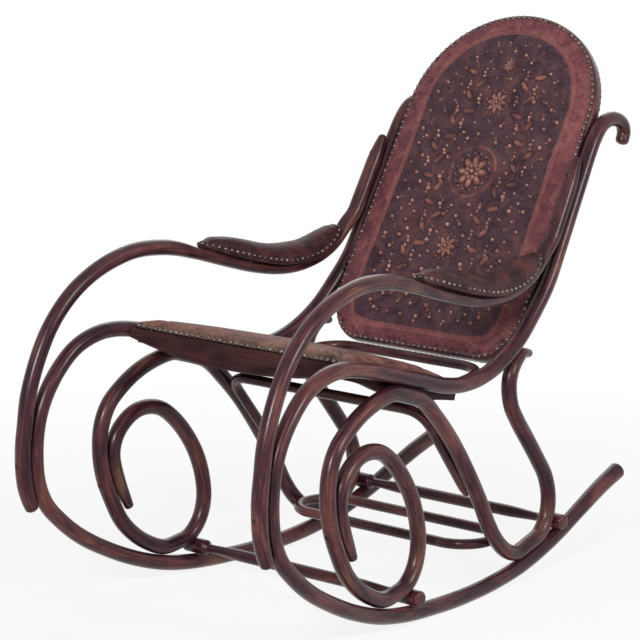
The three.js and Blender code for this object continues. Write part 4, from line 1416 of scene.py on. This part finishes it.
# The tooled front: rings close together at the edge and along the two tooled lines, lifted
# by the crown, the puckers at the nails, the motifs, the stems and a slight unevenness.
def frontSheet():
    count = 980
    # how far round the outline each column is: 0 at the foot's middle, 1 at the top
    place = np.minimum(np.arange(count), count - np.arange(count)) / (count / 2)
    lineAt = np.interp(place, [0, 0.12, 0.26, 0.6, 0.85, 1], np.repeat([
        tooling["lineFoot"], tooling["lineSide"], tooling["lineTop"]], 2))
    edge = np.broadcast_to(np.array(panel["edgeInsets"])[:, None], (4, count))
    gap, width = tooling["lineGap"], tooling["lineWidth"]
    bandStart, beside = 0.0045, 0.0035
    band = bandStart + (lineAt - gap - beside - bandStart) * np.linspace(0, 1, 12)[:, None]
    steps = np.array([-2, -1, 0, 1, 2])[:, None] * 0.6 * width
    rows = [edge, band, lineAt - gap + steps, lineAt + steps, lineAt[None] + beside]
    rings, depth = sheetRings(np.concatenate(rows), 72, count)
    x, y = rings[..., 0], rings[..., 1]
    offset = depth - lineAt[None]
    lines = np.minimum(bell(offset, width) + bell(offset + gap, width), 1)
    start, blur = tooling["fieldEdge"]
    inField = 1 / (1 + np.exp(-(offset - start) / blur))
    flat = rings.reshape(-1, 2)
    motifs, shares = pressed(flat, allMotifs())
    relief = shares.reshape(*depth.shape, 3) * inField[..., None]
    stem = bell(np.abs(x) - vineAt(y), tooling["stemWidth"]) * inField
    stem *= (y > tooling["vineLow"]) & (y < tooling["vineHigh"])
    fromRing = np.hypot(x, y - tooling["ringPlace"]) - tooling["ringRadius"]
    stem = np.maximum(stem, tooling["ringShare"] * bell(fromRing, tooling["ringWidth"]))
    relief[..., 0] = np.maximum(relief[..., 0], 0.75 * stem)
    lift = sheetLift(panel["crown"] * (1 - np.exp(-np.maximum(depth - 0.004, 0) / 0.045)))
    wave = np.cos(np.arange(count) / count * nailCount() * 2 * np.pi)[None]
    lift -= 0.0009 * bell(depth - panel["nailInset"], 0.007) * (0.45 + 0.55 * wave)
    lift += motifs.reshape(depth.shape) * inField + tooling["stemHeight"] * stem
    lift -= tooling["grooveDepth"] * relief[..., 2] + tooling["lineDepth"] * lines
    lift += 0.0006 * np.sin(x * 61 + 1) * np.sin(y * 47) * inField
    stained = stains(flat, depth.ravel()).reshape(depth.shape)
    leatherSheet("tooled_back", rings, lift, 1, tooledLeather, "leather", "back_leather_front",
                 {"tooling": np.stack([1 - inField, lines, stained], axis=2),
                  "relief": relief})


# Plain leather behind the panel, nailed the same way and hardly crowned.
def rearSheet():
    insets = np.concatenate([panel["edgeInsets"], np.linspace(0.006, 0.075, 14)])
    rings, depth = sheetRings(insets[:, None], 22, 360)
    lift = sheetLift(0.0022 * (1 - np.exp(-depth / 0.05)))
    lift += 0.0005 * np.sin(rings[..., 0] * 33 + 2) * np.sin(rings[..., 1] * 21 + 1)
    leatherSheet("plain_back", rings, lift, -1, plainLeather, "raw_leather",
                 "back_leather_rear")


frontSheet()
print("tooled back made")
rearSheet()
line = panelOutline(panel["nailInset"], nailCount())
height = panelFace + panel["leather"] - panel["nailSunk"]
for name, face in (("front", 1), ("rear", -1)):
    nailRow(f"back_nails_{name}", atHeight(line, face * height),
            np.tile([0.0, 0, face], (len(line), 1)), inPanel)
print("back made")


# Arm pads along the tops of the arms

depth, height = armPath.T
padPath = planar(armPath[(depth > armPad["startY"]) & (depth < armPad["endY"])
                         & (height > chair["frameHeight"] / 2)])
padInside = np.cross([1.0, 0, 0], directions(padPath))


# A D-shaped section along the arm's top: flat below and rounded above.
def armForm(low, heights, widths, columns=48):
    angles = np.arange(columns) * 2 * np.pi / columns
    wide = squared(np.cos(angles), 0.6)
    high = np.maximum(squared(np.sin(angles), 0.7), 0)
    foot = padPath + padInside * low
    return (foot[:, None] + np.array([1.0, 0, 0]) * (wide[None] * widths[:, None])[..., None]
            + padInside[:, None] * (high[None] * heights[:, None])[..., None])


# Height above the arm pad's foot, from the nearest place along the arm.
def aboveArm(points):
    near = np.argmin(np.linalg.norm(points[:, None, 1:] - padPath[None, :, 1:], axis=2), axis=1)
    return np.sum((points - padPath[near]) * padInside[near], axis=1) - padLow


share = np.linspace(0, 1, len(padPath))
ends = bulge(share, armPad["endPower"])
baseLow = armPad["flatHeight"] + chair["clearance"]
padLow = baseLow + armPad["base"] - armPad["sunk"]
baseGrid = armForm(baseLow, np.full(len(share), armPad["base"]), armPad["baseHalfWidth"] * ends)
heights = smoothRise(share, armPad["heightShares"]) * bulge(share, armPad["topPower"])
padWidths = armPad["halfWidth"] * ends
armLeft = stuffed("leather_arm_left", armForm(padLow, heights, padWidths), aboveArm, armPad)


# Nail places round the pad's lower edge, in the side frame's own space.
def armNailLine():
    foot = padPath + padInside * (padLow + armPad["nailHeight"])
    outward = np.array([1.0, 0, 0]) * padWidths[:, None]
    outer, inner = foot + outward, foot - outward
    return evenly(np.vstack([outer, inner[::-1], outer[:1]]), armPad["nailSpacing"])[:-1]


nailPlaces, nailNormals = onSurface(armLeft, armNailLine())
puckered(armLeft, nailPlaces, nailNormals, *armPad["pucker"])
nailPlaces = nailPlaces - nailNormals * nail["pressedIn"]
local = pointsOf(armLeft)
for name, sign in sides:
    def onSide(points, sign=sign):
        return inSideFrame(points, sign)

    arm = armLeft if sign > 0 else linked("leather_arm_right", armLeft.data.copy())
    setPoints(arm, onSide(local))
    finished(arm, armLeather, "dark_leather", f"arm_pad_{name}")
    nailRow(f"arm_nails_{name}", nailPlaces, nailNormals, onSide, armPad["nailRadius"])
    strip = lofted(f"round_arm_base_{name}", onSide(baseGrid),
                   attributes={"grain": baseGrid[..., [0, 2, 1]]}, sharp=40)
    finished(strip, stain, "dark_wood", f"arm_pad_base_{name}")
print("arms made")


# Screws through the bolted places

screw = {
    "radius": 0.0050,
    "height": 0.0020,
    "slot": 0.0009,
    "slotTurn": 0.5,
    "sunk": 0.0004,
    "rows": 9,
    "columns": 36,
    "places": [            # the rod whose outside holds the head, and shares on its frame
        ("arm", -0.462, 0.315), ("arm", 0.33, 0.775), ("arm", 0.377, 0.87),
        ("rail", -0.105, 0.525), ("coil", -0.262, 0.25)],
}


# A domed head with a slot: rings of a dome on a short wall, with the points close to one
# line through the middle pressed down.
def screwHead():
    radii = screw["radius"] * np.linspace(1, 0.08, screw["rows"])[:, None]
    angles = np.arange(screw["columns"]) * 2 * np.pi / screw["columns"] + 0.6
    x, y = radii * np.cos(angles), radii * np.sin(angles)
    z = screw["height"] * np.sqrt(1 - (radii / (screw["radius"] * 1.02)) ** 2) + 0 * angles
    aside = x * math.cos(screw["slotTurn"]) + y * math.sin(screw["slotTurn"])
    z[np.abs(aside) < screw["slot"]] *= 0.45
    grid = np.stack([x, y, z], axis=2)
    below = [0, 0, -0.001]
    grid = np.concatenate([grid[:1] * [1, 1, 0] + below, grid])
    return np.vstack([grid.reshape(-1, 3), [below], grid[-1:].mean(axis=1)])


screwPaths = {"arm": (armPath, railPath), "rail": (railPath, scrollPath),
              "coil": (scrollPath[coilStart:], scrollPath[:innerCount])}
places, normals = [], []
for rod, depthShare, heightShare in screw["places"]:
    path, other = screwPaths[rod]
    middle = nearestOn(placed([[depthShare, heightShare]]), path)
    away = unit(middle - nearestOn(middle, other))
    places.append(middle + away * (chair["rodRadius"] - screw["sunk"]))
    normals.append(away)
places, normals = planar(np.vstack(places)), planar(np.vstack(normals))
for name, sign in sides:
    heads = planted(f"screws_{name}", screwHead(),
                    gridFaces(screw["rows"] + 1, screw["columns"]), places, normals,
                    lambda points, sign=sign: inSideFrame(points, sign), sharp=35)
    finished(heads, screwMetal)
print("screws made")


# Floor and light

floor = {
    "size": 12.0,
    "below": 0.0005,       # under the rockers' lowest point
    "shade": "f4f2f0",
    "ownGlow": 0.86,       # share of plain white that the camera sees near the chair
    "fadeFrom": 0.7,       # distances from the chair's middle over which it turns all white
    "fadeTo": 1.9,
}
studio = {
    "sky": 0.15,
    "aim": (0, 0.1, 0.55),
    "lamps": {
        "key": {"place": (2.3, -4.9, 2.9), "size": 1.1, "power": 270},
        "fill": {"place": (4.8, 0.4, 2.6), "size": 1.3, "power": 145},
        "back": {"place": (-2.5, 3.2, 3.2), "size": 2.6, "power": 30},
    },
}
white = (1, 1, 1, 1)


# 1 for the rays that see plain white: the camera's, and those of reflections and glass.
def seenPlain(tree):
    rays = addNode(tree, "LightPath").outputs
    seen = summed(tree, rays["Is Camera Ray"], rays["Is Glossy Ray"], "MAXIMUM")
    return summed(tree, seen, rays["Is Transmission Ray"], "MAXIMUM")


# A level plane below the rockers; what the camera and reflections see of it is nearly its
# own white, and the rest keeps the chair's shadow.
def floorMaterial():
    material = bpy.data.materials.new("pale_floor")
    tree = emptied(material)
    plain = addNode(tree, "BsdfDiffuse", {"Color": tint(floor["shade"])}).outputs[0]
    glow = addNode(tree, "Emission", {"Color": white, "Strength": 1.0}).outputs[0]
    place = addNode(tree, "TexCoord").outputs["Object"]
    away = addNode(tree, "VectorMath", {0: place}, operation="LENGTH").outputs["Value"]
    glowing = ranged(tree, away, floor["fadeFrom"], floor["fadeTo"], floor["ownGlow"], 1.0)
    share = times(tree, seenPlain(tree), glowing)
    both = addNode(tree, "MixShader", {0: share, 1: plain, 2: glow}).outputs[0]
    addNode(tree, "OutputMaterial", {"Surface": both})
    return material


corners = np.array([[-1, -1, 0], [1, -1, 0], [1, 1, 0], [-1, 1, 0]])
ground = solid("floor", corners * floor["size"] / 2, [np.arange(4)[None]])
ground.data.materials.append(floorMaterial())
ground.location.z = min(0.0, cadLow.z) - floor["below"]

world = bpy.data.worlds.new("studio")
tree = emptied(world)
strength = ranged(tree, seenPlain(tree), 0.0, 1.0, studio["sky"], 1.0)
sky = addNode(tree, "Background", {"Color": white, "Strength": strength})
addNode(tree, "OutputWorld", {"Surface": sky.outputs[0]})
scene.world = world

for name, lamp in studio["lamps"].items():
    light = bpy.data.lights.new(name, "AREA")
    light.energy = lamp["power"]
    light.size = lamp["size"]
    holder = linked(name, light)
    holder.location = lamp["place"]
    aim = Vector(studio["aim"]) - Vector(lamp["place"])
    holder.rotation_euler = aim.to_track_quat("-Z", "Y").to_euler()
scene.view_settings.view_transform = "Standard"
print("floor and light placed")
